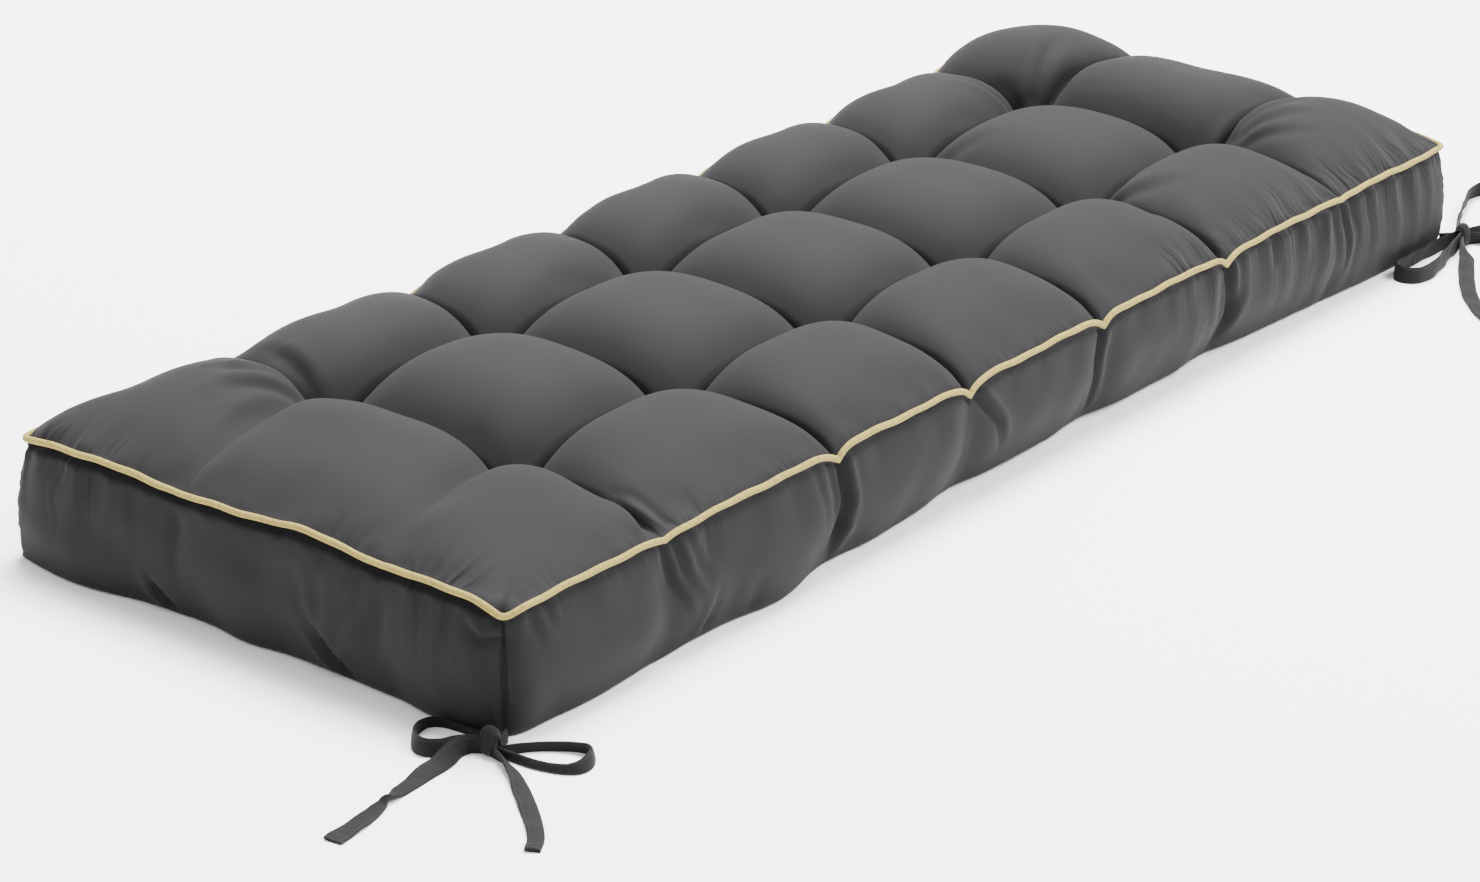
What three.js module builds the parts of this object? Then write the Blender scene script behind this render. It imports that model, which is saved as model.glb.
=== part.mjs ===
// Long bench cushion: a tufted box cushion with cream piping round its top seam
// and a cloth tape tied in a bow at each end of its front long side.
// Millimetres, +Z up. The origin is on the floor under the middle of the cushion.
// The length runs along X and the front long side faces -Y.

import * as THREE from "three";

// Driving sizes
const LENGTH = 1295;
const WIDTH = 483;
const SEAM_HEIGHT = 95;
const SEAM_SET_IN = 3;
const PIPING = { radius: 3.4, outShare: 0.8, upShare: 0.62, joinShare: 0.06 };
const TAPE_WIDTH = 15;
const TAPE_THICKNESS = 1.8;
const PIPING_GAP = 0.7;

// Tufts: six columns and two rows, one pitch both ways
const TUFT_PITCH = 186.5;
const TUFT_X = [-2.5, -1.5, -0.5, 0.5, 1.5, 2.5].map((step) => step * TUFT_PITCH);
const TUFT_Y = [-TUFT_PITCH / 2, TUFT_PITCH / 2];
const TUFT_HEIGHT = 66;

// Where each crease from a tuft reaches the seams, hand set a little off line as in real sewing
const FRONT_NOTCH_X = [-474, -270, -100, 87, 274, 462];
const BACK_NOTCH_X = [-452, -246, -60, 124, 310, 486];
const NEAR_NOTCH_Y = [-128, 70];
const FAR_NOTCH_Y = [-110, 76];
const NOTCH_DROP = { front: 9, back: 17, end: 5 };
const BACK_DRAW_IN = { depth: 12, power: 0.5 };

// Height of the creases half way between two tufts
const CREASE_HEIGHT = { inner: 101, side: 104, nearEnd: 124, farEnd: 119 };

// Crown height of each bulge, one row for each row of bulges, from the near end to the far end
const CROWN = {
  front: [127, 130, 132, 132, 132, 132, 131],
  middle: [134, 138, 138, 137, 136, 136, 138],
  back: [126, 131, 132, 133, 134, 135, 146],
};

// Roundness of a bulge beside a crease and beside each seam, and of a crease between two tufts
const ROUNDNESS = {
  crease: { power: 2.3, root: 1.9 },
  front: { power: 2.0, root: 1.25 },
  back: { power: 2.2, root: 1.8 },
  near: { power: 2.0, root: 1.3 },
  far: { power: 2.3, root: 1.8 },
};
const CREASE_DIP_POWER = 3.2;

// Boxing: how far it swells, how far it draws in, and how the bottom seam is tucked under
const BOXING = { profilePower: 0.8, cornerShare: 0.5, cornerRun: 70, notchPull: 0.65, notchRun: 24 };
const INSET_RUN = 60;
const BOTTOM = { inset: 3, insetPower: 0.6, lift: 3, tuckRun: 24 };
const BOTTOM_NOTCH = { inset: 9, run: 45 };
const BOTTOM_TUFT = { lift: 12, run: 62 };

// Plan corners are a little rounded
const CORNER = { pull: 1.6, run: 34 };

// Steps of the mesh
const STEPS_PER_BULGE = 8;
const BOXING_STEPS = 6;
const PIPING_SIDES = 6;
const TAPE_STEPS_PER_POINT = 3;
const STEP_CROWDING = 0.55;

const COLUMNS = TUFT_X.length + 1;
const ROWS = TUFT_Y.length + 1;
const COLUMN_STEPS = COLUMNS * STEPS_PER_BULGE;
const ROW_STEPS = ROWS * STEPS_PER_BULGE;

// Materials
const clothMaterial = new THREE.MeshStandardMaterial({ color: 0x57575a, roughness: 0.85, metalness: 0 });
const pipingMaterial = new THREE.MeshStandardMaterial({ color: 0xe3d5a5, roughness: 0.8, metalness: 0 });
const tapeMaterial = new THREE.MeshStandardMaterial({ color: 0x4c4c50, roughness: 0.85, metalness: 0 });

const clamp = (value) => Math.min(Math.max(value, 0), 1);
const fade = (distance, run) => clamp(1 - distance / run) ** 2;
const lerp = (a, b, t) => a + (b - a) * t;

// Net of tufts and notches: node (column, row) in plan
function netX(column, row) {
  if (column === 0) return SEAM_SET_IN - LENGTH / 2;
  if (column === COLUMNS) return LENGTH / 2 - SEAM_SET_IN;
  if (row === 0) return FRONT_NOTCH_X[column - 1];
  if (row === ROWS) return BACK_NOTCH_X[column - 1];
  return TUFT_X[column - 1];
}

function netY(column, row) {
  if (row === 0) return SEAM_SET_IN - WIDTH / 2;
  if (row === ROWS) return WIDTH / 2 - SEAM_SET_IN;
  if (column === 0) return NEAR_NOTCH_Y[row - 1];
  if (column === COLUMNS) return FAR_NOTCH_Y[row - 1];
  return TUFT_Y[row - 1];
}

function netHeight(column, row) {
  const onEnd = column === 0 || column === COLUMNS;
  const onSide = row === 0 || row === ROWS;
  if (onEnd && onSide) return SEAM_HEIGHT;
  if (onSide) return SEAM_HEIGHT - (row === 0 ? NOTCH_DROP.front : NOTCH_DROP.back);
  if (onEnd) return SEAM_HEIGHT - NOTCH_DROP.end;
  return TUFT_HEIGHT;
}

// Value of a net function inside a cell, a and b from 0 to 1 along X and Y
function blendNodes(node, column, row, a, b) {
  const low = lerp(node(column, row), node(column + 1, row), a);
  const high = lerp(node(column, row + 1), node(column + 1, row + 1), a);
  return lerp(low, high, b);
}

// Height along one line of the net: the two node heights at its ends, flat and higher between
function lineHeight(first, last, middle, t) {
  const end = t < 0.5 ? first : last;
  return middle + (end - middle) * Math.abs(2 * t - 1) ** CREASE_DIP_POWER;
}

function lineAlongX(column, row, a) {
  const onSeam = row === 0 || row === ROWS;
  const ends = { 0: CREASE_HEIGHT.nearEnd, [COLUMNS - 1]: CREASE_HEIGHT.farEnd };
  const crease = ends[column] ?? CREASE_HEIGHT.inner;
  const middle = onSeam ? SEAM_HEIGHT : crease;
  return lineHeight(netHeight(column, row), netHeight(column + 1, row), middle, a);
}

function lineAlongY(column, row, b) {
  const onSeam = column === 0 || column === COLUMNS;
  const inSideCell = row === 0 || row === ROWS - 1;
  const crease = inSideCell ? CREASE_HEIGHT.side : CREASE_HEIGHT.inner;
  const middle = onSeam ? SEAM_HEIGHT : crease;
  return lineHeight(netHeight(column, row), netHeight(column, row + 1), middle, b);
}

// Height of the surface hung between the four net lines of a cell
function hungHeight(column, row, a, b) {
  const acrossRows = lerp(lineAlongX(column, row, a), lineAlongX(column, row + 1, a), b);
  const acrossColumns = lerp(lineAlongY(column, row, b), lineAlongY(column + 1, row, b), a);
  return acrossRows + acrossColumns - blendNodes(netHeight, column, row, a, b);
}

// Rises from 0 at the edge of a cell to 1 at its middle
function swell(t, edge) {
  const { power, root } = ROUNDNESS[edge];
  return (1 - (1 - clamp(2 * t)) ** power) ** (1 / root);
}

function topPoint(column, row, a, b) {
  const rowName = ["front", "middle", "back"][row];
  const lift = CROWN[rowName][column] - hungHeight(column, row, 0.5, 0.5);
  const dome = swell(a, column === 0 ? "near" : "crease")
    * swell(1 - a, column === COLUMNS - 1 ? "far" : "crease")
    * swell(b, row === 0 ? "front" : "crease")
    * swell(1 - b, row === ROWS - 1 ? "back" : "crease");
  const x = blendNodes(netX, column, row, a, b);
  const y = blendNodes(netY, column, row, a, b);
  const bow = Math.cos((x / LENGTH) * Math.PI) ** BACK_DRAW_IN.power;
  const drawIn = BACK_DRAW_IN.depth * bow * fade(WIDTH / 2 - y, INSET_RUN);
  const toCorner = LENGTH / 2 - Math.abs(x) + WIDTH / 2 - Math.abs(y) - 2 * SEAM_SET_IN;
  const pull = CORNER.pull * fade(toCorner, CORNER.run);
  const height = hungHeight(column, row, a, b) + lift * dome;
  return new THREE.Vector3(x - Math.sign(x) * pull, y - Math.sign(y) * pull - drawIn, height);
}

// Steps inside a bulge are closer together beside its creases
function creaseStep(step) {
  const t = step / STEPS_PER_BULGE;
  return t - STEP_CROWDING * Math.sin(2 * Math.PI * t) / (2 * Math.PI);
}

function cellOf(step, cells) {
  const cell = Math.min(Math.floor(step / STEPS_PER_BULGE), cells - 1);
  return [cell, creaseStep(step - cell * STEPS_PER_BULGE)];
}

function topGridPoint(columnStep, rowStep) {
  const [column, a] = cellOf(columnStep, COLUMNS);
  const [row, b] = cellOf(rowStep, ROWS);
  return topPoint(column, row, a, b);
}

// Bottom seam: how far it is tucked in from the top seam, at a place along a side
function bottomInset(along, sideLength, notches) {
  const corner = Math.sin(Math.PI * clamp(along / sideLength + 0.5)) ** BOTTOM.insetPower;
  const near = notches.map((notch) => Math.exp(-(((along - notch) / BOTTOM_NOTCH.run) ** 2)));
  return corner * (BOTTOM.inset + BOTTOM_NOTCH.inset * Math.max(0, ...near)) - SEAM_SET_IN;
}

// Underside: tucked in at the seam, lifted at the seam and over each tuft, flat elsewhere
function bottomGridPoint(columnStep, rowStep) {
  const { x, y } = topGridPoint(columnStep, rowStep);
  const toSide = { front: y + WIDTH / 2, back: WIDTH / 2 - y, near: x + LENGTH / 2, far: LENGTH / 2 - x };
  const moveY = bottomInset(x, LENGTH, FRONT_NOTCH_X.slice(1)) * fade(toSide.front, INSET_RUN)
    - bottomInset(x, LENGTH, BACK_NOTCH_X) * fade(toSide.back, INSET_RUN);
  const moveX = bottomInset(y, WIDTH, []) * fade(toSide.near, INSET_RUN)
    - bottomInset(y, WIDTH, FAR_NOTCH_Y) * fade(toSide.far, INSET_RUN);
  const toSeam = Math.min(toSide.front, toSide.back, toSide.near, toSide.far);
  let height = BOTTOM.lift * fade(toSeam, BOTTOM.tuckRun);
  for (const tuftX of TUFT_X) {
    for (const tuftY of TUFT_Y) {
      const reach = Math.hypot(x - tuftX, y - tuftY) / BOTTOM_TUFT.run;
      height = Math.max(height, BOTTOM_TUFT.lift * clamp(1 - reach * reach) ** 2);
    }
  }
  return new THREE.Vector3(x + moveX, y + moveY, height);
}

// The four sides: outward direction, notches, how far the boxing swells, and whether it is a long side
const SIDES = {
  front: { out: [0, -1], notches: FRONT_NOTCH_X, swell: 9, long: true },
  far: { out: [1, 0], notches: FAR_NOTCH_Y, swell: 9, long: false },
  back: { out: [0, 1], notches: BACK_NOTCH_X, swell: 13.2, long: true },
  near: { out: [-1, 0], notches: NEAR_NOTCH_Y, swell: 9, long: false },
};

// Stations round the cushion, anticlockwise from the near front corner, each with its grid steps and side
function perimeter() {
  const stations = [];
  for (let step = 0; step < COLUMN_STEPS; step += 1) {
    stations.push({ grid: [step, 0], ...SIDES.front });
  }
  for (let step = 0; step < ROW_STEPS; step += 1) {
    stations.push({ grid: [COLUMN_STEPS, step], ...SIDES.far });
  }
  for (let step = COLUMN_STEPS; step > 0; step -= 1) {
    stations.push({ grid: [step, ROW_STEPS], ...SIDES.back });
  }
  for (let step = ROW_STEPS; step > 0; step -= 1) {
    stations.push({ grid: [0, step], ...SIDES.near });
  }
  const corners = [0, COLUMN_STEPS, COLUMN_STEPS + ROW_STEPS, 2 * COLUMN_STEPS + ROW_STEPS];
  for (const corner of corners) {
    const [columnStep, rowStep] = stations[corner].grid;
    stations[corner].out = [columnStep === 0 ? -1 : 1, rowStep === 0 ? -1 : 1];
  }
  return stations;
}

// Boxing: from the top seam (t = 0) to the bottom seam (t = 1), swollen between corners and creases
function boxingPoint(station, t) {
  const top = topGridPoint(...station.grid);
  const bottom = bottomGridPoint(...station.grid);
  const along = station.long ? top.x : top.y;
  const halfSide = (station.long ? LENGTH : WIDTH) / 2;
  const fromCorner = Math.sin(clamp((halfSide - Math.abs(along)) / BOXING.cornerRun) * Math.PI / 2);
  const corner = lerp(BOXING.cornerShare, 1, fromCorner);
  const nearNotch = station.notches.map((notch) => Math.exp(-(((along - notch) / BOXING.notchRun) ** 2)));
  const pull = 1 - BOXING.notchPull * Math.max(...nearNotch);
  const outward = station.swell * Math.sin(Math.PI * t) ** BOXING.profilePower * corner * pull;
  const point = top.clone();
  point.z = lerp(top.z, bottom.z, t);
  point.x = lerp(top.x, bottom.x, t * t) + station.out[0] * outward;
  point.y = lerp(top.y, bottom.y, t * t) + station.out[1] * outward;
  return point;
}

function closedGeometry(points, triangles) {
  const geometry = new THREE.BufferGeometry().setFromPoints(points);
  geometry.setIndex(triangles.flat());
  geometry.computeVertexNormals();
  return geometry;
}

// The filled cover: top grid, rings of boxing, bottom grid, all sharing their edges
function cushionGeometry() {
  const points = [];
  const triangles = [];
  const quad = (a, b, c, d) => triangles.push([a, b, c], [a, c, d]);
  const grid = (pointAt) => {
    const index = [];
    for (let i = 0; i <= COLUMN_STEPS; i += 1) {
      index.push([]);
      for (let j = 0; j <= ROW_STEPS; j += 1) index[i].push(points.push(pointAt(i, j)) - 1);
    }
    return index;
  };
  const top = grid(topGridPoint);
  const bottom = grid(bottomGridPoint);
  for (let i = 0; i < COLUMN_STEPS; i += 1) {
    for (let j = 0; j < ROW_STEPS; j += 1) {
      quad(top[i][j], top[i + 1][j], top[i + 1][j + 1], top[i][j + 1]);
      quad(bottom[i][j], bottom[i][j + 1], bottom[i + 1][j + 1], bottom[i + 1][j]);
    }
  }
  const stations = perimeter();
  const rings = [stations.map(({ grid: [i, j] }) => top[i][j])];
  for (let step = 1; step < BOXING_STEPS; step += 1) {
    rings.push(stations.map((station) => points.push(boxingPoint(station, step / BOXING_STEPS)) - 1));
  }
  rings.push(stations.map(({ grid: [i, j] }) => bottom[i][j]));
  for (let ring = 0; ring < BOXING_STEPS; ring += 1) {
    for (let k = 0; k < stations.length; k += 1) {
      const next = (k + 1) % stations.length;
      quad(rings[ring][k], rings[ring + 1][k], rings[ring + 1][next], rings[ring][next]);
    }
  }
  return closedGeometry(points, triangles);
}

// A solid through a row of rings of points, closed by a flat cap at each end
function loft(rings) {
  const sides = rings[0].length;
  const triangles = [];
  for (let ring = 0; ring + 1 < rings.length; ring += 1) {
    for (let side = 0; side < sides; side += 1) {
      const a = ring * sides + side;
      const b = ring * sides + (side + 1) % sides;
      triangles.push([a, b, b + sides], [a, b + sides, a + sides]);
    }
  }
  const last = (rings.length - 1) * sides;
  for (let side = 1; side + 1 < sides; side += 1) {
    triangles.push([0, side + 1, side], [last, last + side, last + side + 1]);
  }
  return closedGeometry(rings.flat(), triangles);
}

// Piping: a round cord just outside and above the top seam, joined at the first front notch
function pipingGeometry() {
  const stations = perimeter();
  const count = stations.length;
  const join = STEPS_PER_BULGE;
  const away = PIPING.radius + PIPING_GAP;
  const centres = stations.map(({ grid, out }) => {
    const offset = new THREE.Vector3(out[0] * PIPING.outShare, out[1] * PIPING.outShare, PIPING.upShare);
    return topGridPoint(...grid).addScaledVector(offset, away);
  });
  const ordered = centres.map((_, k) => centres[(k + join) % count]);
  const start = ordered[0].clone().lerp(ordered[1], PIPING.joinShare);
  const end = ordered[0].clone().lerp(ordered[count - 1], PIPING.joinShare);
  const path = [start, ...ordered.slice(1), end];
  const rings = path.map((centre, k) => {
    const tangent = path[Math.min(k + 1, path.length - 1)].clone().sub(path[Math.max(k - 1, 0)]).normalize();
    const side = tangent.clone().cross(new THREE.Vector3(0, 0, 1)).normalize();
    const up = side.clone().cross(tangent);
    return Array.from({ length: PIPING_SIDES }, (_, corner) => {
      const angle = (-corner / PIPING_SIDES) * Math.PI * 2;
      return centre.clone().addScaledVector(side, Math.cos(angle) * PIPING.radius)
        .addScaledVector(up, Math.sin(angle) * PIPING.radius);
    });
  });
  return loft(rings);
}

// Tape: a flat strip on the floor through points [x, y, lean, spread] set by hand from its corner.
// lean is 0 where it lies flat and 90 where it stands on its edge.
// spread is the share of its width that is open, less where it is gathered in a twist.
function tapeGeometry(cornerX, route) {
  const places = route.map(([x, y]) => new THREE.Vector3(cornerX + x, -WIDTH / 2 + y, 0));
  const curve = new THREE.CatmullRomCurve3(places, false, "centripetal");
  const steps = (route.length - 1) * TAPE_STEPS_PER_POINT;
  const rings = [];
  for (let step = 0; step <= steps; step += 1) {
    const t = step / steps;
    const at = Math.min(Math.floor(t * (route.length - 1)), route.length - 2);
    const part = t * (route.length - 1) - at;
    const lean = THREE.MathUtils.degToRad(lerp(route[at][2], route[at + 1][2], part));
    const width = TAPE_WIDTH * lerp(route[at][3] ?? 1, route[at + 1][3] ?? 1, part);
    const tangent = curve.getTangent(t);
    const side = tangent.clone().cross(new THREE.Vector3(0, 0, 1)).normalize();
    const across = side.clone().multiplyScalar(Math.cos(lean)).setZ(Math.sin(lean));
    const thick = across.clone().cross(tangent).normalize();
    const height = (width * Math.abs(Math.sin(lean)) + TAPE_THICKNESS * Math.abs(Math.cos(lean))) / 2;
    const centre = curve.getPoint(t).setZ(height);
    const corners = [[1, 1], [1, -1], [-1, -1], [-1, 1]];
    rings.push(corners.map(([w, h]) => centre.clone()
      .addScaledVector(across, w * width / 2).addScaledVector(thick, h * TAPE_THICKNESS / 2)));
  }
  return loft(rings);
}

// Knot: a band of tape wrapped round the strands, fuller at its middle, its ends facing the loops
const KNOT = { length: 12, depth: 13, height: 17, sides: 12, rings: 6, waist: 0.86 };

function knotGeometry(cornerX, { at, along }) {
  const centre = new THREE.Vector3(cornerX + at[0], at[1] - WIDTH / 2, KNOT.height / 2);
  const axis = new THREE.Vector3(along[0], along[1], 0);
  const across = new THREE.Vector3(-along[1], along[0], 0);
  const rings = [];
  for (let ring = 0; ring <= KNOT.rings; ring += 1) {
    const t = ring / KNOT.rings;
    const full = KNOT.waist + (1 - KNOT.waist) * Math.sin(Math.PI * t);
    rings.push(Array.from({ length: KNOT.sides }, (_, corner) => {
      const angle = (corner / KNOT.sides) * Math.PI * 2;
      const point = centre.clone().addScaledVector(axis, (t - 0.5) * KNOT.length);
      point.addScaledVector(across, Math.cos(angle) * (KNOT.depth / 2) * full);
      return point.setZ(centre.z + Math.sin(angle) * (KNOT.height / 2) * full);
    }));
  }
  return loft(rings);
}

// Routes of the two bows, measured from the bottom corner that each is sewn into
const BOWS = {
  near: {
    corner: -LENGTH / 2,
    knot: { at: [-18, -2], along: [0, 1] },
    stub: [[0.7, -0.3, 90, 0.8], [-5, -1.7, 90, 0.8], [-10.9, -2.2, 90, 0.8]],
    loop_back: [[-18.2, 4.6, 90], [-21, 12, 90], [-30, 19, 88], [-40, 22, 86], [-47.5, 28, 84],
      [-49, 36, 84], [-44, 45, 86], [-35, 52, 86], [-25, 56, 84], [-15, 56, 80], [-9, 49, 80],
      [-7, 38, 80], [-6.8, 26, 84], [-9.5, 13, 88], [-13.4, 4.7, 90]],
    loop_front: [[-14, -9.4, 90], [-6, -15, 88], [4, -23, 84], [14, -34, 82], [21, -45, 80], [23, -54, 80],
      [19, -62, 80], [10, -67, 80], [0, -67, 80], [-7, -61, 80], [-12, -50, 78], [-15, -37, 80],
      [-16.5, -22, 86], [-17.6, -8.8, 90]],
    tail_long: [[-21.6, 4.8, 90, 0.8], [-25, 9.5, 84, 0.9], [-33, 12, 70], [-45, 11.5, 44], [-58, 11, 20],
      [-72, 10.5, 8], [-87, 9, 4, 0.95], [-100, 7, 0, 0.8], [-112, 4, -30, 0.5], [-122, 2, -150, 0.5],
      [-134, 0, -180, 0.8], [-148, -2, -180], [-163, -4, -180], [-178, -6, -180]],
    tail_short: [[-21.4, -8.8, 90, 0.7], [-26, -22, 60, 0.8], [-33, -36, 24, 0.9], [-46, -54, 8],
      [-62, -73, 4], [-77, -92, 4], [-90, -108, 6], [-101, -120, 0]],
  },
  far: {
    corner: LENGTH / 2,
    knot: { at: [12, -16], along: [1, 0] },
    stub: [[-0.9, 0.3, 90, 0.8], [2.6, -4, 90, 0.8], [6.4, -6.6, 90, 0.8], [10.4, -8.2, 90, 0.8]],
    loop_back: [[5.2, -17.4, 90], [-8, -21, 90], [-30, -26, 88], [-58, -33, 84], [-85, -37, 82],
      [-101, -34, 80], [-107, -25, 80], [-105, -15, 80], [-94, -9, 80], [-76, -9, 80], [-52, -9.5, 82],
      [-28, -9.5, 86], [-8, -10.5, 90], [5.2, -13.2, 90]],
    loop_front: [[19.1, -13, 90], [28, -4, 88], [46, 7, 84], [73, 18, 82], [105, 31, 82], [130, 38, 82],
      [148, 34, 80], [158, 20, 80], [152, 2, 80], [134, -13, 78], [106, -24, 78], [74, -27, 82],
      [44, -24, 86], [18.8, -16.8, 90]],
    tail_long: [[5.1, -20.6, 90, 0.8], [-3, -26, 60, 0.9], [-18, -38, 24], [-40, -50, 8], [-68, -66, 4],
      [-96, -84, 4], [-118, -102, 6], [-136, -120, 8], [-150, -138, 0]],
    tail_short: [[18.9, -20.6, 90, 0.8], [25, -27, 60, 0.9], [37, -42, 24], [54, -57, 8], [76, -68, 4],
      [100, -76, 4], [122, -86, 0]],
  },
};

const cushionPart = new THREE.Group();

function addPart(name, geometry, material) {
  const mesh = new THREE.Mesh(geometry, material);
  mesh.name = name;
  cushionPart.add(mesh);
}

addPart("cushion", cushionGeometry(), clothMaterial);
addPart("piping", pipingGeometry(), pipingMaterial);
for (const [bowName, bow] of Object.entries(BOWS)) {
  addPart(`${bowName}_knot`, knotGeometry(bow.corner, bow.knot), tapeMaterial);
  for (const strand of ["stub", "loop_back", "loop_front", "tail_long", "tail_short"]) {
    addPart(`${bowName}_${strand}`, tapeGeometry(bow.corner, bow[strand]), tapeMaterial);
  }
}

export default cushionPart;
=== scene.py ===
# %% [markdown]
# # A tufted bench cushion
# The real object is a sewn fabric box, 1.3 m long, stuffed with loose fibre. Twelve hidden
# stitches pull its top down, so that it stands up in twenty-one soft bulges. Cream piping
# runs round the top seam, and a folded tape is tied in a bow at both ends of the front side.
#
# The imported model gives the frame: where everything is, and how big. This script replaces
# its plain solids, one after the other, with surfaces that look like the real cloth. Lengths
# are written in millimetres and turned into metres where a mesh is made.

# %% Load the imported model
import math

import bpy
import numpy as np
from mathutils import Matrix, Vector


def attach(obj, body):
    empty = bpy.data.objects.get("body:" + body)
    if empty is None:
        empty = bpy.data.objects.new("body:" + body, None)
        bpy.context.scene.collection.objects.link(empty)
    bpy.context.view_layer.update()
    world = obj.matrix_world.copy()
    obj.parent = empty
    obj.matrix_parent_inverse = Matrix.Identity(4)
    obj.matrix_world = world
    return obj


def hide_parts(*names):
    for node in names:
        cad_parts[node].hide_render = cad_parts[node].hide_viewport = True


MM = 0.001
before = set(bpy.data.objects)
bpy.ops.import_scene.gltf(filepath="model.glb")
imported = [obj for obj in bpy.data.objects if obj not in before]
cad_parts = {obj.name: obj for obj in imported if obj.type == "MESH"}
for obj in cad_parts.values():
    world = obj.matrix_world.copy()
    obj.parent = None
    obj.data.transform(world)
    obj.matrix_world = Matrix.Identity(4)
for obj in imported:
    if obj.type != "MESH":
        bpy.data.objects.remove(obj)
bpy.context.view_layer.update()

# %% [markdown]
# ## Camera
# A product photograph is taken from far off with a long lens, so that parallel seams stay
# almost parallel. The camera is placed by angles round the object, as a photographer would
# say it, and not by a matrix of numbers: how far round, how high up, and how far away.

# %% Camera
IMAGE_WIDTH_PX = 1480
FOCAL_LENGTH_PX = 4085
SENSOR_WIDTH_MM = 36
CAMERA_ANGLES = {"azimuth": -52.11, "elevation": 22.99, "roll": 0.85}
CAMERA_OFFSET = {"aside": 50.2, "above": 46.7, "away": 3408}


def place_camera():
    """Looks at the cushion from an azimuth and an elevation, then rolls about its own axis.

    The view axis is back = (sin a cos e, -cos a cos e, sin e), and the camera stands at
    minus the aside and above offsets and plus the distance along its own three axes.
    """
    azimuth, elevation, roll = (math.radians(angle) for angle in CAMERA_ANGLES.values())
    back = Vector((
        math.sin(azimuth) * math.cos(elevation),
        -math.cos(azimuth) * math.cos(elevation),
        math.sin(elevation),
    ))
    level_right = Vector((math.cos(azimuth), math.sin(azimuth), 0))
    level_up = back.cross(level_right)
    right = level_right * math.cos(roll) + level_up * math.sin(roll)
    up = level_up * math.cos(roll) - level_right * math.sin(roll)
    place = back * CAMERA_OFFSET["away"] - right * CAMERA_OFFSET["aside"] - up * CAMERA_OFFSET["above"]
    data = bpy.data.cameras.new("camera")
    data.sensor_width = SENSOR_WIDTH_MM
    data.lens = FOCAL_LENGTH_PX / IMAGE_WIDTH_PX * SENSOR_WIDTH_MM
    camera = bpy.data.objects.new("camera", data)
    bpy.context.scene.collection.objects.link(camera)
    camera.matrix_world = Matrix.Translation(place * MM) @ Matrix((right, up, back)).transposed().to_4x4()
    bpy.context.scene.camera = camera
    return camera


camera = place_camera()
print("lens, in millimetres:", round(camera.data.lens, 1))

# %% [markdown]
# ## Helpers for meshes and materials
# Every shape below is an array of points worked out by numpy. One function puts such arrays
# into a mesh, and one adds a shader node with its settings and links. Colours are written as
# the hex values that a colour picker shows, and turned to the linear values that light needs.

# %% Meshes from arrays
def make_piece(name, points, face_groups, corner_uv):
    """A smooth mesh object from points in millimetres, with its place in its mesh.

    Each face group is an array with a row of point numbers for every face. corner_uv holds a
    place on the cloth, in metres, for each corner of each face in the same order.
    """
    corners = np.concatenate([group.ravel() for group in face_groups]).astype(np.int32)
    sizes = np.concatenate([np.full(len(group), group.shape[1]) for group in face_groups])
    starts = np.concatenate([[0], np.cumsum(sizes)[:-1]]).astype(np.int32)
    mesh = bpy.data.meshes.new(name)
    mesh.vertices.add(len(points))
    mesh.vertices.foreach_set("co", (points * MM).astype(np.float32).ravel())
    mesh.loops.add(len(corners))
    mesh.loops.foreach_set("vertex_index", corners)
    mesh.polygons.add(len(sizes))
    mesh.polygons.foreach_set("loop_start", starts)
    mesh.polygons.foreach_set("use_smooth", np.ones(len(sizes), bool))
    mesh.update(calc_edges=True)
    layer = mesh.uv_layers.new(name="cloth")
    layer.data.foreach_set("uv", corner_uv.astype(np.float32).ravel())
    mesh.validate()
    piece = bpy.data.objects.new(name, mesh)
    bpy.context.scene.collection.objects.link(piece)
    return piece


def grid_quads(index):
    """The quads of a grid of point numbers, turned so that rows x columns face outwards."""
    return np.stack([index[:-1, :-1], index[1:, :-1], index[1:, 1:], index[:-1, 1:]], -1).reshape(-1, 4)


def outline_length(points):
    """Distance walked along a row of points, from 0 at the first one."""
    steps = np.linalg.norm(np.diff(points, axis=0), axis=1)
    return np.concatenate([[0], np.cumsum(steps)])


def unit(vectors):
    """The same directions, each 1 long."""
    return vectors / np.maximum(np.linalg.norm(vectors, axis=-1, keepdims=True), 1e-9)


# %% Colours and shader nodes
def linear(hex_colour):
    """sRGB hex to linear: below 0.04045 a straight line, above it the power 2.4."""
    parts = [int(hex_colour[k:k + 2], 16) / 255 for k in (1, 3, 5)]
    return [p / 12.92 if p <= 0.04045 else ((p + 0.055) / 1.055) ** 2.4 for p in parts] + [1]


def add_node(tree, kind, inputs=None, **settings):
    """Adds a node and sets its inputs and settings.

    inputs maps a socket's name or number to a value, to another node's output, or to another
    node, which stands for its first output.
    """
    made = tree.nodes.new(kind)
    for name, value in settings.items():
        setattr(made, name, value)
    for socket, value in (inputs or {}).items():
        value = value.outputs[0] if isinstance(value, bpy.types.Node) else value
        if isinstance(value, bpy.types.NodeSocket):
            tree.links.new(value, made.inputs[socket])
        else:
            made.inputs[socket].default_value = value
    return made


def new_material(name):
    """An empty node material and its node tree."""
    material = bpy.data.materials.new(name)
    material.use_nodes = True
    material.node_tree.nodes.clear()
    return material, material.node_tree


# %% [markdown]
# ## Floor and light
# The object stands on a plain pale floor in a bright room. A soft lamp in front and to the
# right models the bulges and leaves the short end in shade. A larger one above the far half
# lights the tops, and a pale sky fills the shadows, as the white walls of a studio do.

# %% Floor
FLOOR_SIZE = 60000
FLOOR_COLOUR = "#FFFFFF"


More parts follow.
